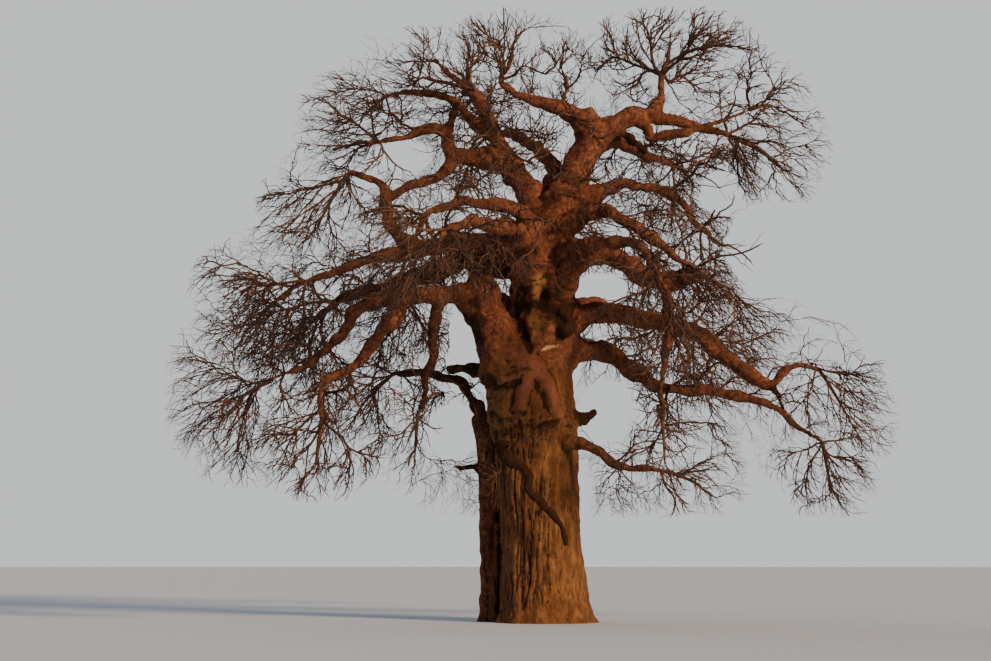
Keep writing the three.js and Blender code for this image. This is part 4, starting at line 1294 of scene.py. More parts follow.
for route, half, deep in CREASES.values():
    off = (near_route(read, route)[0] + wobble) / half
    crease_depth = np.maximum(crease_depth, deep * np.exp(-(off**2)) * in_front)
broken = smooth_step(-0.45, 0.3, noise(skin / 0.35, 95))
crease_depth *= LEAST_CREASE + (1 - LEAST_CREASE) * broken
print("creases up to", round(float(crease_depth.max()), 3), "m")

# %% Torn waist and stumps
WAIST = [(-1.3, 6.05), (-0.7, 5.85), (-0.3, 5.98), (0.1, 5.8), (0.6, 5.86), (1.2, 5.8)]
WAIST_HALF = 0.26
WAIST_STRAY = 0.12
WAIST_ROUGH = 0.055
WAIST_OUT = 0.03
STUMP_ROUGH = 0.05
waist_off = near_route(read, WAIST)[0] + WAIST_STRAY * noise(skin / 0.4, 96)
fringe = (1 - smooth_step(0.3 * WAIST_HALF, WAIST_HALF, np.abs(waist_off))) * in_front
stump_near = np.zeros(len(skin))
for route, thick in STUMPS.values():
    for spot in route[1:]:
        off = np.linalg.norm(skin - seen(spot), axis=1)
        stump_near = np.maximum(stump_near, 1 - smooth_step(0.2, 0.45, off))
print("points on the waist", int((fringe > 0.5).sum()), "near stumps", int((stump_near > 0.5).sum()))

# %% [markdown]
# The rest of the relief is the same all round the tree. Furrows run down the old trunk where a
# noise that is stretched upwards crosses its middle value, which gives long thin lines. Only the
# trunk's sunny side is nearly smooth. The limbs have streaks along them and wrinkles round them,
# most of all at their forks.

# %% Furrows of the trunk
PLEAT_TOP = 5.9
PLEAT_FADE = 0.5
SMOOTH_FROM, SMOOTH_TO = (268, 296), (338, 360)
SMOOTHER = 0.75
BENDING = 0.07
FURROWS = ((3.8, 0.045, 0.12), (8.5, 0.026, 0.18))
FURROW_STRETCH = 0.075
low = 1 - smooth_step(PLEAT_TOP - PLEAT_FADE, PLEAT_TOP, skin[:, 2])
bearing = np.degrees(np.arctan2(skin[:, 1], skin[:, 0] - 0.2)) % 360
smooth_side = smooth_step(*SMOOTH_FROM, bearing) * (1 - smooth_step(*SMOOTH_TO, bearing))
furrowed = low * (1 - SMOOTHER * smooth_side) * smooth_step(-0.5, 0.2, noise(skin / 0.9, 44))
bent = skin + BENDING * np.stack([noise(skin * 1.1, 40), noise(skin * 1.1, 41), 0 * bearing], 1)
relief = ridge - crease_depth
torn = WAIST_ROUGH * fringe + STUMP_ROUGH * stump_near
relief += torn * rough_noise(skin / 0.17, 97, 2) + WAIST_OUT * fringe
furrow = np.zeros(len(skin))
for fineness, deep, half in FURROWS:
    upright = FURROW_STRETCH * 3.5 / math.sqrt(fineness)
    value = noise(bent * fineness * np.array([1, 1, upright]), 50)
    cut = np.exp(-((value / half) ** 2)) * furrowed
    furrow = np.maximum(furrow, cut)
    relief -= deep * cut
print("furrowed share of the skin", round(float(furrowed.mean()), 3))

# %% Lumps and grain
BROAD = (0.02, 0.025)
LUMPS = 0.026
GRAIN = 0.009
young = 1 - smooth_step(0.12, 0.8, thickness)
broad = noise(skin / 0.85, 60)
lumps = rough_noise(skin / 0.3, 61, 2)
grain = rough_noise(skin / 0.1, 62, 2)
relief += (BROAD[0] + BROAD[1] * smooth_step(0.2, 1, thickness)) * broad
relief += LUMPS * (1 - 0.3 * young) * (1 - 0.5 * rosy) * lumps + GRAIN * (1 - 0.6 * rosy) * grain
print("lumps and grain up to", round(sum(BROAD) + LUMPS + GRAIN, 3), "m")

# %% Streaks, wrinkles and pits
STREAKS = 0.014
WRINKLES = (0.004, 0.022)
WRINKLE_HALF = 0.22
PITS = 0.011
AIRING = 0.3


def along_limb(across, ahead, apart):
    """Places measured along each point's own limb, so that a noise there runs with the limb."""
    return from_axis / across + limb_way * (along / ahead)[:, None] + apart * limb_of[:, None]


streaks = noise(along_limb(0.13, 0.9, 13.1), 70)
wrinkle = np.exp(-((noise(along_limb(0.7, 0.14, 7.7), 71) / WRINKLE_HALF) ** 2))
collar_near = np.exp(-np.maximum(along - 2.2 * thickness, 0) / 0.9)
wrinkled = np.clip(collar_near + smooth_step(0.15, 0.6, noise(skin / 0.8, 72)), 0, 1)
own = alone * (1 - low) * (1 - rosy) * np.minimum(thickness / 0.25, 1)
relief += own * (STREAKS * streaks - (WRINKLES[0] + WRINKLES[1] * wrinkled) * wrinkle)
pits = smooth_step(0.45, 0.7, noise(skin / 0.1, 80)) * low
pits = pits * smooth_step(-0.1, 0.4, noise(skin / 0.6, 81))
relief -= PITS * pits
skin = skin + out * relief[:, None]
skin = skin + AIRING * (around(skin) - skin)
print("relief from", round(float(relief.min()), 3), "to", round(float(relief.max()), 3), "m")

# %% [markdown]
# ## What the material needs to know
# Some colours have a place: painted shade in the hollows and creases, painted shadows on the front
# of the trunk, darker wood round the stumps and the torn waist, limbs darkened partly as painted
# shade, rosy skin on the welded folds, bare ochre wood inside the fork, a pale torn scar. They are
# worked out for every point of the skin and kept in the mesh as named values, which the material
# then mixes by.

# %% Hollows and crests
HOLLOW_RANGE = (0.001, 0.008)
BROAD_HOLLOW_RANGE = (0.0006, 0.0035)
CREST_RANGE = (0.0008, 0.006)
hollow = ((around(skin) - skin) * outward(skin)).sum(1)
# Painted shade: darker in the skin's hollows, creases and furrows; also darker round stumps and waist.
groove = 0.7 * smooth_step(*HOLLOW_RANGE, hollow)
groove = groove + 0.35 * smooth_step(*BROAD_HOLLOW_RANGE, blurred(hollow, 10))
torn_fringe = fringe * smooth_step(-0.3, 0.5, noise(skin / 0.2, 98))
for dark, share in (
    (np.clip(crease_depth / 0.1, 0, 1), 0.7), (furrow, 0.5), (stump_near, 0.65), (torn_fringe, 0.55),
):
    groove = np.clip(np.maximum(groove, share * dark), 0, 1)
crest = smooth_step(*CREST_RANGE, -hollow)
print("dark share", round(float(groove.mean()), 3))

# %% Patches that the eye reads
# Painted shadows: on the left stem's left flank, below the lip, and under the boughs at the fork.
SHADOW_PATCHES = [
    ((-1.8, 8.5), (0.42, 1.15)), ((-1.3, 7.1), (0.3, 0.3)), ((1.25, 8.9), (0.5, 0.22)),
    ((0.75, 9.1), (0.6, 0.3)), ((-0.42, 9.5), (0.2, 0.6)), ((0.0, 9.3), (0.5, 0.15)),
]
SHADOW_DARKNESS = 0.62
OCHRE_PATCHES = [((0.08, 9.9), (0.28, 0.6)), ((-0.02, 8.75), (0.26, 0.45))]
RAGGED = 0.4


def patch(place, size, edge, grain_length, seed):
    """A ragged oval on the front of the wood, 1 inside it and 0 outside."""
    off = np.linalg.norm((read - place) / size, axis=1)
    off = off + RAGGED * rough_noise(skin / grain_length, seed, 2)
    return (1 - smooth_step(*edge, off)) * in_front


for place, size in SHADOW_PATCHES:
    groove = np.maximum(groove, SHADOW_DARKNESS * patch(place, size, (0.5, 1.15), 0.3, 99))
ochre = np.zeros(len(skin))
for place, size in OCHRE_PATCHES:
    ochre = np.maximum(ochre, patch(place, size, (0.45, 1.05), 0.16, 120))
print("ochre points", int((ochre > 0.5).sum()))

# %% Lines that the eye reads
SHADE_LINES = {
    "between_legs": ([(-0.05, 7.14), (0.08, 6.88), (0.27, 6.5), (0.46, 6.12)], 0.085, 0.72),
    "under_arm": ([(-0.1, 7.42), (-0.45, 7.38), (-0.9, 7.28)], 0.11, 0.45),
    "under_lip": ([(-0.38, 7.12), (-0.75, 6.98), (-1.2, 6.84)], 0.1, 0.62),
    "left_of_leg": ([(-0.56, 7.0), (-0.68, 6.5), (-0.74, 6.0)], 0.05, 0.5),
}
SHADE_TAPER = [0.35, 1, 1, 0.3]
SHADE_STRAY = 0.7
SCAR = [(0.18, 7.98), (0.4, 8.08), (0.68, 8.12)]
SCAR_HALVES = [0.02, 0.06, 0.03]
SCAR_STRAY = 0.02
for route, half, darkness in SHADE_LINES.values():
    off, share = near_route(read, route)
    off = off / (half * spread(SHADE_TAPER, share))
    off = off + SHADE_STRAY * rough_noise(skin / 0.11, 97, 3)
    groove = np.maximum(groove, darkness * (1 - smooth_step(0.2, 1.5, off)) * in_front)
off, share = near_route(read, SCAR)
off = (off + SCAR_STRAY * noise(skin / 0.1, 121)) / spread(SCAR_HALVES, share)
scar = (1 - smooth_step(0.5, 1.1, off)) * in_front
print("scar points", int((scar > 0.5).sum()))

# %% Shaded dark, rosy and old wood
# Limbs that stand in shadow are darkened by these shares: painted shade, partly their own darker bark.
SHADED_DARK_WOOD = {
    "bough_front_hanger": 0.75, "back_stem": 0.2, "bough_left_under": 0.5, "bough_left_hanger": 0.5,
    "bough_left_back": 0.5, "bough_right_hanger": 0.3,
}
ROSY_STEMS = 0.3
OLD_TOP = (6.0, 8.6)
shaded_dark_wood = sum(share * on_limbs([name]) for name, share in SHADED_DARK_WOOD.items())
groove = np.maximum(groove, blurred(shaded_dark_wood, 4))
upper = smooth_step(7.4, 9.5, skin[:, 2]) * smooth_step(0.15, 0.5, thickness)
rosy = np.maximum(0.9 * rosy, upper * smooth_step(-0.1, 0.6, noise(skin / 1.3, 110)) * ROSY_STEMS)
on_trunk = on_limbs(["trunk", "left_stem", "main_stem"])
old = blurred((1 - smooth_step(*OLD_TOP, skin[:, 2])) * on_trunk, 3)
skin_values = {
    "pleated": np.clip(furrowed + 0.15 * low, 0, 1),
    "groove": groove, "crest": crest, "rosy": rosy, "old": old, "ochre": ochre, "scar": scar,
}
print({key: round(float(value.mean()), 3) for key, value in skin_values.items()})

# %% [markdown]
# ## The bark's three pieces
# The skin is cut off at the ground and shared out: the trunk with its stems, the boughs to the
# left and the boughs to the right. The outward directions of the whole skin are kept on each
# piece, so the shading runs on across the joins.

# %% Cutting and sharing out
left_names = [name for name in ALL_LIMBS if "left" in name and name not in TRUNK_STEMS]
right_names = [name for name in ALL_LIMBS if name not in TRUNK_STEMS + left_names]
groups = {
    "bark_trunk": TRUNK_STEMS, "bark_boughs_left": left_names, "bark_boughs_right": right_names,
}
above = skin[quads, 2].max(1) > 0
skin[:, 2] = np.maximum(skin[:, 2], 0)
out = outward(skin)
bark_pieces = {}
for piece_name, members in groups.items():
    mine = above & on_limbs(members)[quads[:, 0]]
    used, faces = np.unique(quads[mine], return_inverse=True)
    faces = faces.reshape(-1, 4)
    piece = mesh_piece(piece_name, skin[used], faces)
    for key, value in skin_values.items():
        layer = piece.data.attributes.new(key, "FLOAT", "POINT")
        layer.data.foreach_set("value", value[used].astype(np.float32))
    bark_pieces[piece_name] = (piece, used)
    print(piece_name, len(faces), "faces")

# %% [markdown]
# The skin is now open where it meets the ground. Its rim there is found by height, and one flat
# face closes each ring of it, which is then cut into triangles.

# %% Closing the foot
ON_THE_GROUND = 1e-5


def close_foot(piece):
    """Closes the flat cut at ground level with one face for each stem's ring."""
    bm = bmesh.new()
    bm.from_mesh(piece.data)
    rim = [e for e in bm.edges if e.is_boundary and max(v.co.z for v in e.verts) < ON_THE_GROUND]
    made = bmesh.ops.contextual_create(bm, geom=rim)["faces"]
    made = bmesh.ops.triangulate(bm, faces=made)["faces"]
    bmesh.ops.recalc_face_normals(bm, faces=made)
    bm.to_mesh(piece.data)
    bm.free()
    return len(made)


print("faces under the foot", close_foot(bark_pieces["bark_trunk"][0]))
for piece, used in bark_pieces.values():
    piece.data.normals_split_custom_set_from_vertices(out[used])

# %% [markdown]
# ## Where a twig may grow
# Every branch and twig keeps to the air that the source's solids reach: the rounded spaces of the
# sprays, and a sleeve of air round the limbs. It stays out of the wood itself and out of the
# windows of sky that the crown leaves open.

# %% The air of the crown
AIR = 1.95
AIR_ROOM = 1.06
SKY_WINDOWS = (
    ((5.5, 12.6), (0.6, 0.65)), ((-3.75, 13.7), (0.7, 0.45)), ((-1.95, 8.35), (0.55, 1.0)),
    ((-2.4, 5.6), (0.7, 0.8)), ((2.1, 6.2), (0.75, 0.85)), ((1.95, 9.8), (0.75, 0.42)),
    ((7.1, 11.0), (1.45, 1.35)),
    ((0.15, 7.3), (1.1, 1.3)), ((0.3, 3.8), (1.3, 1.3)),
)
LOWEST_TWIG = 3.0


def free_air(points, air=AIR):
    """Which points a twig may reach."""
    gap = wood_gap(points, WOOD)
    near = gap < air
    for place, room in zip(HEARTS, ROOMS):
        near |= room_share(points - place, *room) < AIR_ROOM
    flat = read_by_eye(points)
    for place, size in SKY_WINDOWS:
        near &= (((flat - place) / size) ** 2).sum(1) > 1
    low, high = np.array(frame_box)
    inside = (points > low).all(1) & (points < high).all(1) & (points[:, 2] > LOWEST_TWIG)
    return near & inside & (gap > WOOD_GAP)


print("hearts of sprays in free air", int(free_air(HEARTS).sum()), "of", len(HEARTS))

# %% [markdown]
# ## Branches that fill the crown
# The source gives every spray about twenty branches and twigs. A real crown has hundreds in the
# same space, and each one grew towards a place that had light and no branch yet. So places are
# spread evenly through the air of the crown, and are taken in turn, the nearest to the wood first.
# Each gets a branch from the nearest wood that points its way, and this branch is wood for the
# places that come after it. That is how branches come to bear branches, with no star of twigs
# round one point. The wood that a branch may leave is kept as points, each with its direction,
# its thickness and its owner.

# %% Wood that new branches may leave
SAMPLE_STEP = 0.16
MOST_SAMPLES = 60000
LIMB_OWNER = -1


class Skeleton:
    """Points of all the wood that a branch may leave."""

    def __init__(self):
        self.size = 0
        self.spots = np.zeros((MOST_SAMPLES, 3))
        self.ways = np.zeros((MOST_SAMPLES, 3))
        self.radii = np.zeros(MOST_SAMPLES)
        self.owners = np.zeros(MOST_SAMPLES, int)

    def add(self, line, first, last, radius_at, owner):
        """Adds the stretch of a line between two shares of its length."""
        count = max(2, half_up(line.length * (last - first) / SAMPLE_STEP))
        shares = np.linspace(first, last, count)
        new = slice(self.size, self.size + count)
        self.spots[new] = line.spot(shares)
        self.ways[new] = line.heading(shares)
        self.radii[new] = radius_at(shares)
        self.owners[new] = owner
        self.size += count


skeleton = Skeleton()
print("room for", MOST_SAMPLES, "points of wood")

# %% The limbs, and the source's own branches
BARE_STEMS = {"left_stem": 0.8, "main_stem": 0.42, "back_stem": 1, "trunk": 1}
STANDING_HALF = 1.2
ROOT_GAP = 0.3
STEM_TO = 0.98
OWN_FROM, OWN_TO = 0.15, 0.85
OWN_BENDS = 7
OWN_WANDER = 0.035
OWN_SEED = 19
grown = []
for name, limb in ALL_LIMBS.items():
    parent = limb["from"]
    reach = STANDING_HALF
    if parent in ALL_LIMBS:
        reach = spread(ALL_LIMBS[parent]["thick"], limb["at"])
    first = max((reach + ROOT_GAP) / lines[name].length, BARE_STEMS.get(name, 0))
    if first < 1:
        skeleton.add(lines[name], first, 1, partial(spread, limb["thick"]), LIMB_OWNER)
for name, stem in stems.items():
    skeleton.add(stem["line"], 0, STEM_TO, partial(stem_radius, name), LIMB_OWNER)
for number, name in enumerate(SPRAYS):
    for points, thick in branches[name]:
        plain = Line(points)
        stray = sway(mix(OWN_SEED, len(grown)), np.arange(3 * OWN_BENDS)).reshape(-1, 3)
        stray[[0, -1]] = 0
        line = Line(plain.spot(np.linspace(0, 1, OWN_BENDS)) + OWN_WANDER * plain.length * stray)
        radius_at = lambda shares: thick * (1 - (1 - BRANCH["tip"]) * shares)
        skeleton.add(line, OWN_FROM, OWN_TO, radius_at, len(grown))
        grown.append({"line": line, "thick": thick, "number": number, "own": True, "parent": -1})
print("wood to leave", skeleton.size, "points,", len(grown), "branches of the source")

# %% [markdown]
# The places come from two plain rules. A spray gets shells of places, spread by the golden turn
# as the source spreads its branches. The air along the limbs gets a grid whose points are shaken.

# %% Places for branches in the sprays
SHELLS = ((0.98, 0.86), (0.74, 1.0), (0.48, 1.1))
OPENNESS = {
    "twigs_right_high": 1.5, "twigs_right_arch": 1.65, "twigs_back_right": 1.25,
    "twigs_right_elbow": 1.5, "twigs_right_tip": 1.15, "twigs_right_low": 1.1,
    "twigs_back_low_right": 1.3,
    "twigs_left_crook": 0.8, "twigs_high_left": 0.86, "twigs_top_left": 0.88,
    "twigs_left_riser": 0.92, "twigs_top_riser": 0.92, "twigs_leader_left": 0.92,
}
PLACE_SEED = 8
PLACE_STRAY = 0.25
PLACE_HANG = 0.15
PLACE_GAP = 0.02


def shell_places(number, seed):
    """Places in shells of a spray's space, about one in each square of the shell's spacing."""
    wide, tall = ROOMS[number]
    openness = OPENNESS.get(list(SPRAYS)[number], 1)
    made = []
    for shell, spacing in SHELLS:
        spacing = spacing * openness
        count = half_up(4 * math.pi * (wide * wide * tall) ** (2 / 3) * (shell / spacing) ** 2)
        k = np.arange(count)
        rise = 1 - 2 * (k + 0.5) / count
        turn = GOLDEN_TURN * k + math.pi * sway(seed, BRANCH["turn_seed"])
        flat = np.sqrt(1 - rise**2)
        off = np.stack([wide * flat * np.cos(turn), wide * flat * np.sin(turn), tall * rise], 1)
        stray = np.stack([sway(mix(seed, 7 + axis), k) for axis in range(3)], 1)
        made.append(HEARTS[number] + off * shell + PLACE_STRAY * spacing * stray)
        made[-1][:, 2] -= PLACE_HANG * HANGS[number] * tall * flat
    made = np.concatenate(made)
    return made[in_space(made, PLACE_GAP, number)]


room_places = [shell_places(number, mix(PLACE_SEED, number)) for number in range(len(HEARTS))]
print("places in the sprays", sum(map(len, room_places)))

# %% Places along the limbs
GRID = 0.88
SHAKE = 0.45
GRID_SEED = 900
BARE_ROUND_TRUNK = 1.0
BARE_TO = 11


def grid_places():
    """Places in a shaken grid all through the air that is close to the limbs."""
    low, high = np.array(frame_box)
    axes = [np.arange(a + GRID / 2, b, GRID) for a, b in zip(low, high)]
    grid = np.stack(np.meshgrid(*axes, indexing="ij"), -1).reshape(-1, 3)
    k = np.arange(len(grid))
    grid = grid + SHAKE * GRID * np.stack([sway(GRID_SEED + axis, k) for axis in range(3)], 1)
    in_a_room = np.zeros(len(grid), bool)
    for number in range(len(HEARTS)):
        in_a_room |= in_space(grid, PLACE_GAP, number)
    bare_wood = WOOD[np.isin(wood_names, list(BARE_STEMS))]
    bare = (wood_gap(grid, bare_wood) < BARE_ROUND_TRUNK) & (grid[:, 2] < BARE_TO)
    return grid[~in_a_room & ~bare]


limb_places = grid_places()
print("places along the limbs", len(limb_places))

# %% The order of the places
NO_SPRAY = -1
places = np.concatenate([*room_places, limb_places])
numbers = np.repeat([*range(len(HEARTS)), NO_SPRAY], [*map(len, room_places), len(limb_places)])
fits = free_air(places)
places, numbers = places[fits], numbers[fits]
stem_wood = np.vstack([capsules(stem["line"], lambda share: stem["radius"]) for stem in stems.values()])
turn = np.argsort(wood_gap(places, np.vstack([WOOD, stem_wood])), kind="stable")
places, numbers = places[turn], numbers[turn]
hangs = HANGS[((places[:, None] - HEARTS) ** 2).sum(2).argmin(1)]
print("places", len(places), "of them along the limbs", int((numbers == NO_SPRAY).sum()))

# %% Growing to each place
GROW = {
    "reach": 3.4, "acute": 0.35, "acute_limb": 0.0, "turn_cost": 0.8, "tries": 14, "every": 4,
    "steps": 8, "wander": 0.05, "bow": 0.3, "lift": 0.7, "rise": 0.3, "crowded": 0.28,
    "out_of_limb": 0.12, "latest": 0.8, "skip": 0.08, "tests": 12, "far": 0.3, "seed": 17,
    "bears_from": 0.2, "bears_to": 0.92, "thick": 0.02,
}


def grow_to(place, hang, seed):
    """The best branch to a place, and the skeleton point that it leaves."""
    size = skeleton.size
    run = place - skeleton.spots[:size]
    length = np.linalg.norm(run, axis=1)
    straight = (run * skeleton.ways[:size]).sum(1) / np.maximum(length, 1e-9)
    on_limb = skeleton.owners[:size] == LIMB_OWNER
    cost = length - np.where(on_limb, skeleton.radii[:size], 0)
    if cost.min() < GROW["crowded"]:
        return None
    cost = cost + GROW["turn_cost"] * length * (1 - straight)
    sharp = straight < np.where(on_limb, GROW["acute_limb"], GROW["acute"])
    cost[sharp | (length > GROW["reach"])] = np.inf
    for tried in np.argsort(cost)[: GROW["tries"] : GROW["every"]]:
        if not np.isfinite(cost[tried]):
            return None
        way = unit(skeleton.ways[tried] + UP * (GROW["rise"] + GROW["lift"] * hang))
        line = Line(crooked_path(skeleton.spots[tried], way, place, seed, GROW))
        inside = skeleton.radii[tried] + GROW["out_of_limb"] if on_limb[tried] else 0
        first = inside / line.length
        tests = np.linspace(max(first, GROW["skip"]), 1, GROW["tests"])
        if first < GROW["latest"] and free_air(line.spot(tests), AIR + GROW["far"]).all():
            return line, tried
    return None


for k, (place, hang) in enumerate(zip(places, hangs)):
    found = grow_to(place, hang, mix(GROW["seed"], k))
    if found is not None:
        line, left = found
        skeleton.add(
            line, GROW["bears_from"], GROW["bears_to"], lambda shares: GROW["thick"], len(grown),
        )
        grown.append({
            "line": line, "number": int(numbers[k]), "own": False, "hang": hang,
            "parent": int(skeleton.owners[left]), "limit": skeleton.radii[left],
        })
print("branches", len(grown), "points of wood", skeleton.size)

# %% [markdown]
# ## How thick each branch is
# A branch has to feed all the wood that it carries, so its cross-section grows with the length of
# that wood. The lengths are added up from the last branch to the first, and then no branch may
# be thicker than what it leaves.

# %% Thickness from what is carried
THICK_PER_CARRIED = 0.019
THICKNESS_LIMITS = (0.018, 0.085)
THINNER = 0.85
carried = np.array([branch["line"].length for branch in grown])
for k in range(len(grown) - 1, -1, -1):
    if grown[k]["parent"] >= 0:
        carried[grown[k]["parent"]] += carried[k]
for k, branch in enumerate(grown):
    if branch["own"]:
        continue
    parent = branch["parent"]
    limit = branch["limit"] if parent < 0 else grown[parent]["thick"]
    thick = np.clip(THICK_PER_CARRIED * math.sqrt(carried[k]), *THICKNESS_LIMITS)
    branch["thick"] = min(thick, THINNER * limit)
print("carried lengths up to", round(float(carried.max()), 1), "m")

# %% The first order of twigs
TAPER_END = 0.38
FIRST_POINTS = 9
TONES = 4
OVERLAP = 0.15
first_rows = []


def add_end(line, ended, radius_of, number):
    """Adds the thin end of a limb or stem, from where the skin stops."""
    begin = max(ended - OVERLAP / line.length, 0)
    first_rows.append((line, begin, *radius_of(np.array([begin, 1.0])), number, HANGS[number]))


for number, (name, spray) in enumerate(SPRAYS.items()):
    limb_name = spray["on"]
    if limb_ends[limb_name] < 1:
        add_end(lines[limb_name], limb_ends[limb_name], partial(limb_radius, limb_name), number)
    add_end(stems[name]["line"], stem_ends[name], partial(stem_radius, name), number)
for branch in grown:
    thick, number = branch["thick"], branch["number"]
    hang = branch.get("hang", HANGS[number])
    first_rows.append((branch["line"], 0, thick, TAPER_END * thick, number, hang))

part = np.linspace(0, 1, FIRST_POINTS)
first_lines, begins, roots, tips, first_numbers, first_hangs = zip(*first_rows)
first_batch = {
    "points": np.array([line.spot(a + (1 - a) * part) for line, a in zip(first_lines, begins)]),
    "radii": np.array([root + (tip - root) * part for root, tip in zip(roots, tips)]),
    "number": np.array(first_numbers),
    "hang": np.array(first_hangs),
    "tone": (mix(9, np.arange(len(first_rows))) % np.uint64(TONES)).astype(int),
}
print("first order", len(first_rows))

# %% [markdown]
# ## From branches to the finest twigs
# A twig grows as its branch did: it leaves sideways at a place along its parent, bends a little
# at every step, and hangs or turns up as its part of the crown does. So one function makes every
# order of twigs, and each order is the parent of the next. All the twigs of an order are worked
# out together as arrays. A twig that would leave the crown's air or touch a limb is tried
# shorter, and then left out, which also keeps the sky open where the crown has gaps.

# %% The way that twigs bend in time
CROWN_MIDDLE = (0.4, 0.0, 9.6)
DROOP = 0.9
SAG = 0.45
FLATTER = 0.45
STREAM_FROM = 5.0


def streaming(points, hang):
    """Out from the tree, and down the more level the twigs reach. It is weak near the middle."""
    off = (points - CROWN_MIDDLE) * (1, 1, FLATTER)
    out = unit(off)
    down = DROOP * hang + SAG * (1 - out[:, 2] ** 2)
    outer = np.minimum(np.linalg.norm(off, axis=1) / STREAM_FROM, 1)
    return unit(out - UP * down[:, None]) * outer[:, None]


print("a twig far out on the right bends", streaming(np.array([[9, 0, 9.6]]), 0.4)[0].round(2))

# %% Where the twigs of one order start
UNEVEN = (0.55, 0.4)
TURN_STRAY = 0.5


def starts_on(parent, rule, seed):
    """Twigs on all lines of a batch: their owner, share, seed, start, and three directions."""
    lines_in = parent["points"]
    lengths = np.linalg.norm(np.diff(lines_in, axis=1), axis=2).sum(1)
    stretch = 1 - rule["from"]
    counts = np.maximum((lengths * stretch / rule["step"] + 0.5).astype(int), 1)
    owner = np.repeat(np.arange(len(counts)), counts)
    rank = np.arange(len(owner)) - np.repeat(np.cumsum(counts) - counts, counts)
    own = mix(seed, np.arange(len(owner)))
    share = rank + UNEVEN[0] + UNEVEN[1] * sway(own, 1)
    share = rule["from"] + stretch * share / counts[owner]
    place = share * (lines_in.shape[1] - 1)
    at = np.minimum(place.astype(int), lines_in.shape[1] - 2)
    a, b = lines_in[owner, at], lines_in[owner, at + 1]
    ahead = unit(b - a)
    beside = unit(np.cross(ahead, UP + 0.01 * a))
    turn = GOLDEN_TURN * rank + math.pi * sway(mix(seed + 1, owner), 2) + TURN_STRAY * sway(own, 3)
    over = np.cross(beside, ahead) * rule["flat"] * np.sin(turn)[:, None]
    out = unit(beside * np.cos(turn)[:, None] + over)
    start = a + (b - a) * (place - at)[:, None]
    return {
        "owner": owner, "share": share, "own": own, "start": start, "ahead": ahead, "out": out,
        "parent_length": lengths[owner], "parent_radius": parent["radii"][owner, at],
    }


print("twigs turn on by", round(math.degrees(GOLDEN_TURN), 1), "degrees from one to the next")

# %% One order of twigs from the last
LEAST_TIP = 0.0024
LEAN_STRAY = 14
LONGEST_AT_ROOT = (1.2, 0.6)
SIZE_STRAY = 0.4
THICK_BY_SIZE = (0.8, 0.25)
NEW_TONES = 3, 10


def sprout(parent, rule, seed):
    """Twigs along every line of the parent batch, by one rule."""
    new = starts_on(parent, rule, seed)
    own, start, owner = new["own"], new["start"], new["owner"]
    lean = np.radians(rule["lean"] + LEAN_STRAY * sway(own, 4))[:, None]
    way = new["ahead"] * np.cos(lean) + new["out"] * np.sin(lean)
    size = rule["size"] * new["parent_length"]
    size = size * (LONGEST_AT_ROOT[0] - LONGEST_AT_ROOT[1] * new["share"])
    size = np.clip(size * (1 + SIZE_STRAY * sway(own, 5)), *rule["between"])
    steps = rule["points"] - 1
    hang = parent["hang"][owner]
    stream = rule["stream"] / steps * streaming(start, hang)
    path = [np.zeros_like(start)]
    for k in range(1, steps + 1):
        stray = np.stack([sway(own, 10 + 3 * k + axis) for axis in range(3)], 1)
        pull = UP * ((rule["rise"] * k / steps - rule["fall"] * hang) / steps)[:, None] + stream
        way = unit(way + rule["wander"] * stray + pull)
        path.append(path[-1] + way * (size / steps)[:, None])
    path = np.stack(path, 1)
    radius = rule["thick"] * (THICK_BY_SIZE[0] + THICK_BY_SIZE[1] * size / rule["between"][1])
    radius = np.minimum(radius, THINNER * new["parent_radius"])
    scale = np.zeros(len(owner))
    waiting = np.arange(len(owner))
    for shrink in SHRINKS:
        tried = (start[waiting, None] + path[waiting, 1:] * shrink).reshape(-1, 3)
        good = free_air(tried).reshape(-1, steps).all(1)
        scale[waiting[good]] = shrink
        waiting = waiting[~good]
    kept = scale > 0
    fade = np.linspace(1, rule["tip"], steps + 1)
    few, many = map(np.uint64, NEW_TONES)
    new_tone = mix(own[kept], 7) % np.uint64(TONES)
    tone = np.where(mix(own[kept], 6) % many < few, new_tone, parent["tone"][owner[kept]])
    return {
        "points": start[kept, None] + path[kept] * scale[kept, None, None],
        "radii": np.maximum(radius[kept, None] * fade, LEAST_TIP),
        "number": parent["number"][owner[kept]],
        "hang": hang[kept],
        "tone": tone.astype(int),
    }


# %% [markdown]
# ## Three finer orders
# Shoots leave the branches, twigs leave the shoots, and short spurs leave the twigs. Each order
# is thinner, shorter and more crooked than the one before. The finest are as thick as a thumb at
# their root: a real one is thinner still, but then it would be lost between the picture's points.

# %% Shoots, twigs and spurs
ORDER_NAMES = ("shoots", "twigs", "spurs")
ORDER_RULES = {
    "step": (0.25, 0.25, 0.2), "from": (0.12, 0.1, 0.15), "lean": (38, 42, 46),
    "flat": (0.65, 0.8, 1), "size": (0.68, 0.5, 0.42), "points": (5, 4, 2),
    "between": ((0.6, 2.0), (0.28, 1.0), (0.1, 0.32)),
    "wander": (0.26, 0.34, 0.4), "rise": (0.2, 0.3, 0.3), "fall": (0.8, 0.5, 0.3),
    "stream": (1.1, 0.6, 0.4), "thick": (0.029, 0.02, 0.0145), "tip": (0.5, 0.55, 0.55),
}
ORDER_SEED = 1001
BRANCH_SIDES, TWIG_SIDES = 5, 3
batches = [(first_batch, BRANCH_SIDES)]
for number, name in enumerate(ORDER_NAMES):
    rule = {key: values[number] for key, values in ORDER_RULES.items()}
    batches.append((sprout(batches[-1][0], rule, ORDER_SEED + number), TWIG_SIDES))
    print(len(batches[-1][0]["number"]), name)

# %% [markdown]
# ## The twig pieces
# The twigs of each spray are joined into one piece, which stands for that spray's plain solid.
# The small branches along the limbs make four more pieces, by the side of the tree that they are
# on.

# %% Joining the twigs
SIDE_SPLIT = 0.4
TUBE_TURN_SEED = 77


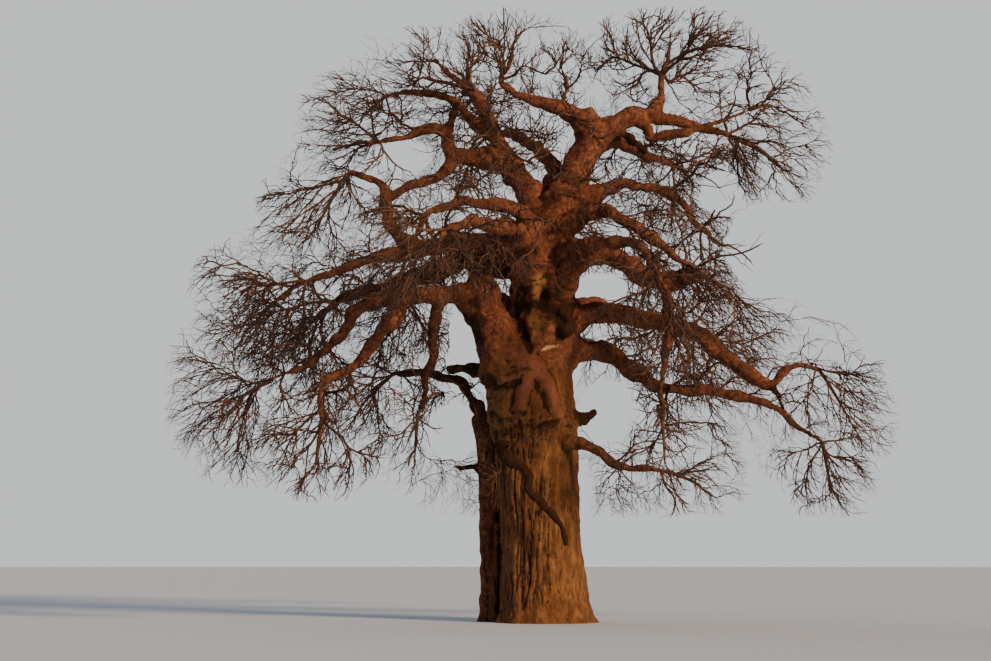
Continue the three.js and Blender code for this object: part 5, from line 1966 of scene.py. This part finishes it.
def twig_piece(name, chooser):
    """One piece of all the twigs that the chooser picks from a batch."""
    vertices, faces, tones, start = [], [], [], 0
    for batch, sides in batches:
        mine = chooser(batch)
        if not mine.any():
            continue
        turn = math.pi * sway(TUBE_TURN_SEED, np.arange(mine.sum()))
        made, made_faces = pointed_tubes(batch["points"][mine], batch["radii"][mine], sides, turn)
        vertices.append(made)
        faces.append(made_faces + start)
        tones.append(np.repeat(batch["tone"][mine], len(made_faces) // mine.sum()))
        start += len(made)
    piece = mesh_piece(name, np.concatenate(vertices), np.concatenate(faces))
    piece.data.polygons.foreach_set("material_index", np.concatenate(tones).astype(np.int32))
    twig_faces.append(sum(map(len, faces)))
    return piece


def on_side(batch, left, back):
    """Twigs of the limbs whose root lies on one side of the tree."""
    root = batch["points"][:, 0]
    mine = (root[:, 0] < SIDE_SPLIT) == left
    return (batch["number"] == NO_SPRAY) & mine & ((root[:, 1] > 0) == back)


twig_faces = []
twig_pieces = {
    name: twig_piece("fine_" + name, lambda batch: batch["number"] == number)
    for number, name in enumerate(SPRAYS)
}
for back, left in itertools.product((False, True), (True, False)):
    name = f"limb_twigs_{'back' if back else 'front'}_{'left' if left else 'right'}"
    twig_pieces[name] = twig_piece(name, lambda batch: on_side(batch, left, back))
print("twig triangles", sum(twig_faces), "at most", max(twig_faces), "in one piece")

# %% [markdown]
# ## Effects that the finishes share
# Three effects make every kind of bark here: a mottled colour, a fine grain that stands out, and
# painted shade that darkens the hollows and the shaded places. Each is a node group, built once and
# given other values in every material. A group puts out only colours and heights, and the shader
# stays in the material.

# %% Building node groups
class Board:
    """A short way to place nodes in one tree and to link them."""

    def __init__(self, tree):
        self.tree = tree

    def node(self, kind, inputs, **settings):
        """A new node. Its inputs get values, or links from other nodes."""
        made = self.tree.nodes.new(kind)
        for key, value in settings.items():
            setattr(made, key, value)
        for key, value in inputs.items():
            self.feed(made.inputs[key], value)
        return made

    def feed(self, socket, value):
        """Gives a socket a value, or a link from another node."""
        if isinstance(value, bpy.types.NodeSocket):
            self.tree.links.new(value, socket)
        else:
            socket.default_value = value

    def blend(self, share, first, second):
        """Mixes two colours."""
        inputs = {"Factor": share, 6: first, 7: second}
        return self.node("ShaderNodeMix", inputs, data_type="RGBA").outputs[2]

    def maths(self, kind, *values):
        """Sums over values."""
        return self.node("ShaderNodeMath", dict(enumerate(values)), operation=kind).outputs[0]

    def ramp(self, value, low, high):
        """Spreads a stretch of values over 0 to 1, with soft ends."""
        inputs = {"Value": value, "From Min": low, "From Max": high}
        return self.node("ShaderNodeMapRange", inputs, interpolation_type="SMOOTHSTEP").outputs[0]

    def noise(self, place, scale, detail=4, roughness=0.55, distortion=0.0):
        """Cloudy noise from 0 to 1."""
        inputs = {"Vector": place, "Scale": scale, "Detail": detail, "Roughness": roughness}
        inputs["Distortion"] = distortion
        return self.node("ShaderNodeTexNoise", inputs).outputs["Fac"]

    def stretched(self, place, scale):
        """Places whose axes are scaled, so that a pattern there is drawn out."""
        return self.node("ShaderNodeVectorMath", {0: place, 1: scale}, operation="MULTIPLY").outputs[0]

    def node_group(self, group, inputs):
        """Places a shared effect with its own values."""
        return self.node("ShaderNodeGroup", inputs, node_tree=group).outputs


def new_group(name, inputs, outputs):
    """A node group with named sockets, each given as its name and its kind."""
    group = bpy.data.node_groups.new(name, "ShaderNodeTree")
    for in_out, sockets in (("INPUT", inputs), ("OUTPUT", outputs)):
        for key, kind in sockets.items():
            group.interface.new_socket(key, in_out=in_out, socket_type="NodeSocket" + kind)
    board = Board(group)
    start = board.node("NodeGroupInput", {})
    end = board.node("NodeGroupOutput", {})
    return group, board, start.outputs, end.inputs


# %% Mottled colour
mottle, board, given, result = new_group(
    "bark_mottle",
    {"Place": "Vector", "Size": "Float", "Dark": "Color", "Middle": "Color", "Light": "Color"},
    {"Color": "Color"},
)
small = board.maths("DIVIDE", 5.5, given["Size"])
large = board.maths("DIVIDE", 1.1, given["Size"])
patches = board.ramp(board.noise(given["Place"], large, 3, 0.6, 0.4), 0.38, 0.62)
flecks = board.ramp(board.noise(given["Place"], small, 6, 0.68), 0.36, 0.66)
ground = board.blend(patches, given["Middle"], given["Light"])
shade = board.maths("MULTIPLY", board.maths("SUBTRACT", 1.0, flecks), 0.88)
board.feed(result["Color"], board.blend(shade, ground, given["Dark"]))
print("group", mottle.name, "sockets", len(mottle.interface.items_tree))

# %% Fine grain
grain_group, board, given, result = new_group(
    "bark_grain",
    {"Place": "Vector", "Size": "Float", "Furrows": "Float", "Pits": "Float"},
    {"Height": "Float"},
)
fine, narrow, wide = (board.maths("DIVIDE", scale, given["Size"]) for scale in (30.0, 11.0, 16.0))
long_place = board.stretched(given["Place"], (1.0, 1.0, 0.22))
furrow_noise = board.noise(long_place, narrow, 5, 0.6, 0.3)
furrow = board.maths("ABSOLUTE", board.maths("SUBTRACT", furrow_noise, 0.5))
furrow = board.maths("MULTIPLY", board.ramp(furrow, 0.0, 0.07), given["Furrows"])
pit = board.ramp(board.noise(given["Place"], wide, 2, 0.4), 0.58, 0.7)
pit = board.maths("MULTIPLY", pit, given["Pits"])
skin_noise = board.maths("MULTIPLY", board.noise(given["Place"], fine, 5, 0.6), 0.5)
height = board.maths("SUBTRACT", board.maths("ADD", furrow, skin_noise), pit)
board.feed(result["Height"], height)
print("group", grain_group.name, "sockets", len(grain_group.interface.items_tree))

# %% Painted shade in the hollows
shade_group, board, given, result = new_group(
    "hollow_shade",
    {"Color": "Color", "Place": "Vector", "Hollow": "Float", "Amount": "Float", "Shade": "Color"},
    {"Color": "Color", "Unshaded": "Float"},
)
# Painted shade: the colour goes towards the near-black shade colour where the Hollow value is high.
edge = board.maths("MULTIPLY", board.noise(given["Place"], 9.0, 4, 0.6), 0.7)
darkened = board.ramp(board.maths("ADD", given["Hollow"], edge), 0.4, 1.0)
darkened = board.maths("MULTIPLY", darkened, given["Amount"])
board.feed(result["Color"], board.blend(darkened, given["Color"], given["Shade"]))
board.feed(result["Unshaded"], board.maths("SUBTRACT", 1.0, darkened))
print("groups", [group.name for group in bpy.data.node_groups])

# %% [markdown]
# ## The bark's finish
# Old bark on the trunk is tan to copper, with dark streaks that run down it. Bark higher up is a
# deep reddish brown. One set of nodes makes both and fades from one to the other by how old
# the wood is, so the trunk and the boughs meet without a line. Folds that have welded are rosy
# and a little polished, bare wood is ochre, and painted shade darkens the hollows, the shadows and
# the shaded limbs.

# %% Colours of the bark
TRUNK_COLOURS = ((0.1, 0.038, 0.014, 1), (0.215, 0.088, 0.032, 1), (0.3, 0.135, 0.052, 1))
BOUGH_COLOURS = ((0.052, 0.017, 0.0085, 1), (0.18, 0.056, 0.029, 1), (0.29, 0.102, 0.054, 1))
STREAK_COLOUR = (0.06, 0.024, 0.01, 1)
ROSY_COLOUR = (0.34, 0.102, 0.068, 1)
OCHRE_COLOUR = (0.42, 0.19, 0.055, 1)
SCAR_COLOUR = (0.55, 0.34, 0.17, 1)
CREST_COLOUR = (0.3, 0.15, 0.08, 1)
# The near-black of the painted shade, which also stands for the darker bark of the shaded limbs.
SHADE_AND_DARK_BARK_COLOUR = (0.02, 0.0085, 0.0045, 1)


def mottled(board, place, size, colours):
    """The mottled colour of three tones."""
    dark, middle, light = colours
    inputs = {"Place": place, "Size": size, "Dark": dark, "Middle": middle, "Light": light}
    return board.node_group(mottle, inputs)["Color"]


def bark_colour(board, known, place):
    """Trunk and bough colours, faded into each other, with all that lies on them."""
    trunk = mottled(board, board.stretched(place, (1.0, 1.0, 0.3)), 0.8, TRUNK_COLOURS)
    streaks = board.noise(board.stretched(place, (1.0, 1.0, 0.07)), 13.0, 4, 0.6, 0.2)
    pleated = board.maths("MULTIPLY", known("pleated"), 0.7)
    streaks = board.maths("MULTIPLY", board.ramp(streaks, 0.5, 0.66), pleated)
    trunk = board.blend(streaks, trunk, STREAK_COLOUR)
    colour = board.blend(known("old"), mottled(board, place, 0.7, BOUGH_COLOURS), trunk)
    blotches = board.noise(board.stretched(place, (1.0, 1.0, 0.5)), 7.0, 5, 0.65)
    blotches = board.maths("MULTIPLY_ADD", board.ramp(blotches, 0.3, 0.66), 0.46, 0.2)
    for name, amount, tint in (
        ("rosy", blotches, ROSY_COLOUR), ("crest", 0.22, CREST_COLOUR), ("ochre", 0.65, OCHRE_COLOUR),
    ):
        colour = board.blend(board.maths("MULTIPLY", known(name), amount), colour, tint)
    # Painted shade over the bark colour.
    darkening = {"Color": colour, "Place": place, "Hollow": known("groove"), "Amount": 0.9}
    colour = board.node_group(shade_group, darkening | {"Shade": SHADE_AND_DARK_BARK_COLOUR})["Color"]
    return board.blend(known("scar"), colour, SCAR_COLOUR)


# %% Bark
ROUGH, POLISH = 0.86, 0.2
SHINE = 0.15
BUMP_STRENGTH = 0.75
GRAIN_DEPTH = 0.02


def bark_finish(name):
    """The finish of trunk or boughs."""
    finish, shader = new_finish(name)
    board = Board(finish.node_tree)
    place = board.node("ShaderNodeTexCoord", {}).outputs["Object"]

    def known(key):
        """A value that the mesh holds for every point."""
        return board.node("ShaderNodeAttribute", {}, attribute_name=key).outputs["Fac"]

    board.feed(shader.inputs["Base Color"], bark_colour(board, known, place))
    polish = board.maths("MULTIPLY", known("rosy"), POLISH)
    board.feed(shader.inputs["Roughness"], board.maths("SUBTRACT", ROUGH, polish))
    furrows = board.maths("MULTIPLY_ADD", known("old"), 0.45, 0.25)
    grain = {"Place": place, "Size": 1.0, "Furrows": furrows, "Pits": 0.35}
    grain = board.node_group(grain_group, grain)["Height"]
    bump = {"Height": grain, "Strength": BUMP_STRENGTH, "Distance": GRAIN_DEPTH}
    board.feed(shader.inputs["Normal"], board.node("ShaderNodeBump", bump).outputs["Normal"])
    shader.inputs["Specular IOR Level"].default_value = SHINE
    return finish


trunk_bark = bark_finish("trunk_bark")
bough_bark = bark_finish("bough_bark")
for piece_name, (piece, used) in bark_pieces.items():
    on_trunk = piece_name == "bark_trunk"
    piece.data.materials.append(trunk_bark if on_trunk else bough_bark)
    nodes = [name for name in groups[piece_name] if name not in ARMS]
    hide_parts(*nodes)
    print(piece_name, "stands for", len(nodes), "nodes")

# %% [markdown]
# ## The twigs' finish
# Twigs are a dark red-brown, and paler where the bark of the last years is still young. Their
# tones are dealt out twig by twig as whole materials, because a pattern would fall anywhere on
# so many thin tubes. Each tone is still a little mottled.

# %% Twig tones
TWIG_TONES = {
    "twig_dark": (0.062, 0.028, 0.022),
    "twig_red": (0.12, 0.05, 0.036),
    "twig_brown": (0.1, 0.052, 0.035),
    "twig_pale": (0.17, 0.088, 0.06),
}
TONE_STEPS = (0.6, 1, 1.35)
TWIG_MOTTLE = 0.5
TWIG_ROUGHNESS = 0.8
TWIG_SHINE = 0.25


def twig_finish(name, colour):
    """The finish of twigs in one tone."""
    finish, shader = new_finish(name)
    board = Board(finish.node_tree)
    place = board.node("ShaderNodeTexCoord", {}).outputs["Object"]
    colours = [(*(step * part for part in colour), 1) for step in TONE_STEPS]
    board.feed(shader.inputs["Base Color"], mottled(board, place, TWIG_MOTTLE, colours))
    shader.inputs["Roughness"].default_value = TWIG_ROUGHNESS
    shader.inputs["Specular IOR Level"].default_value = TWIG_SHINE
    return finish


twig_finishes = [twig_finish(name, colour) for name, colour in TWIG_TONES.items()]
for name, piece in twig_pieces.items():
    for finish in twig_finishes:
        piece.data.materials.append(finish)
    if name in SPRAYS:
        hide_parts(name)
print(len(twig_pieces), "twig pieces")
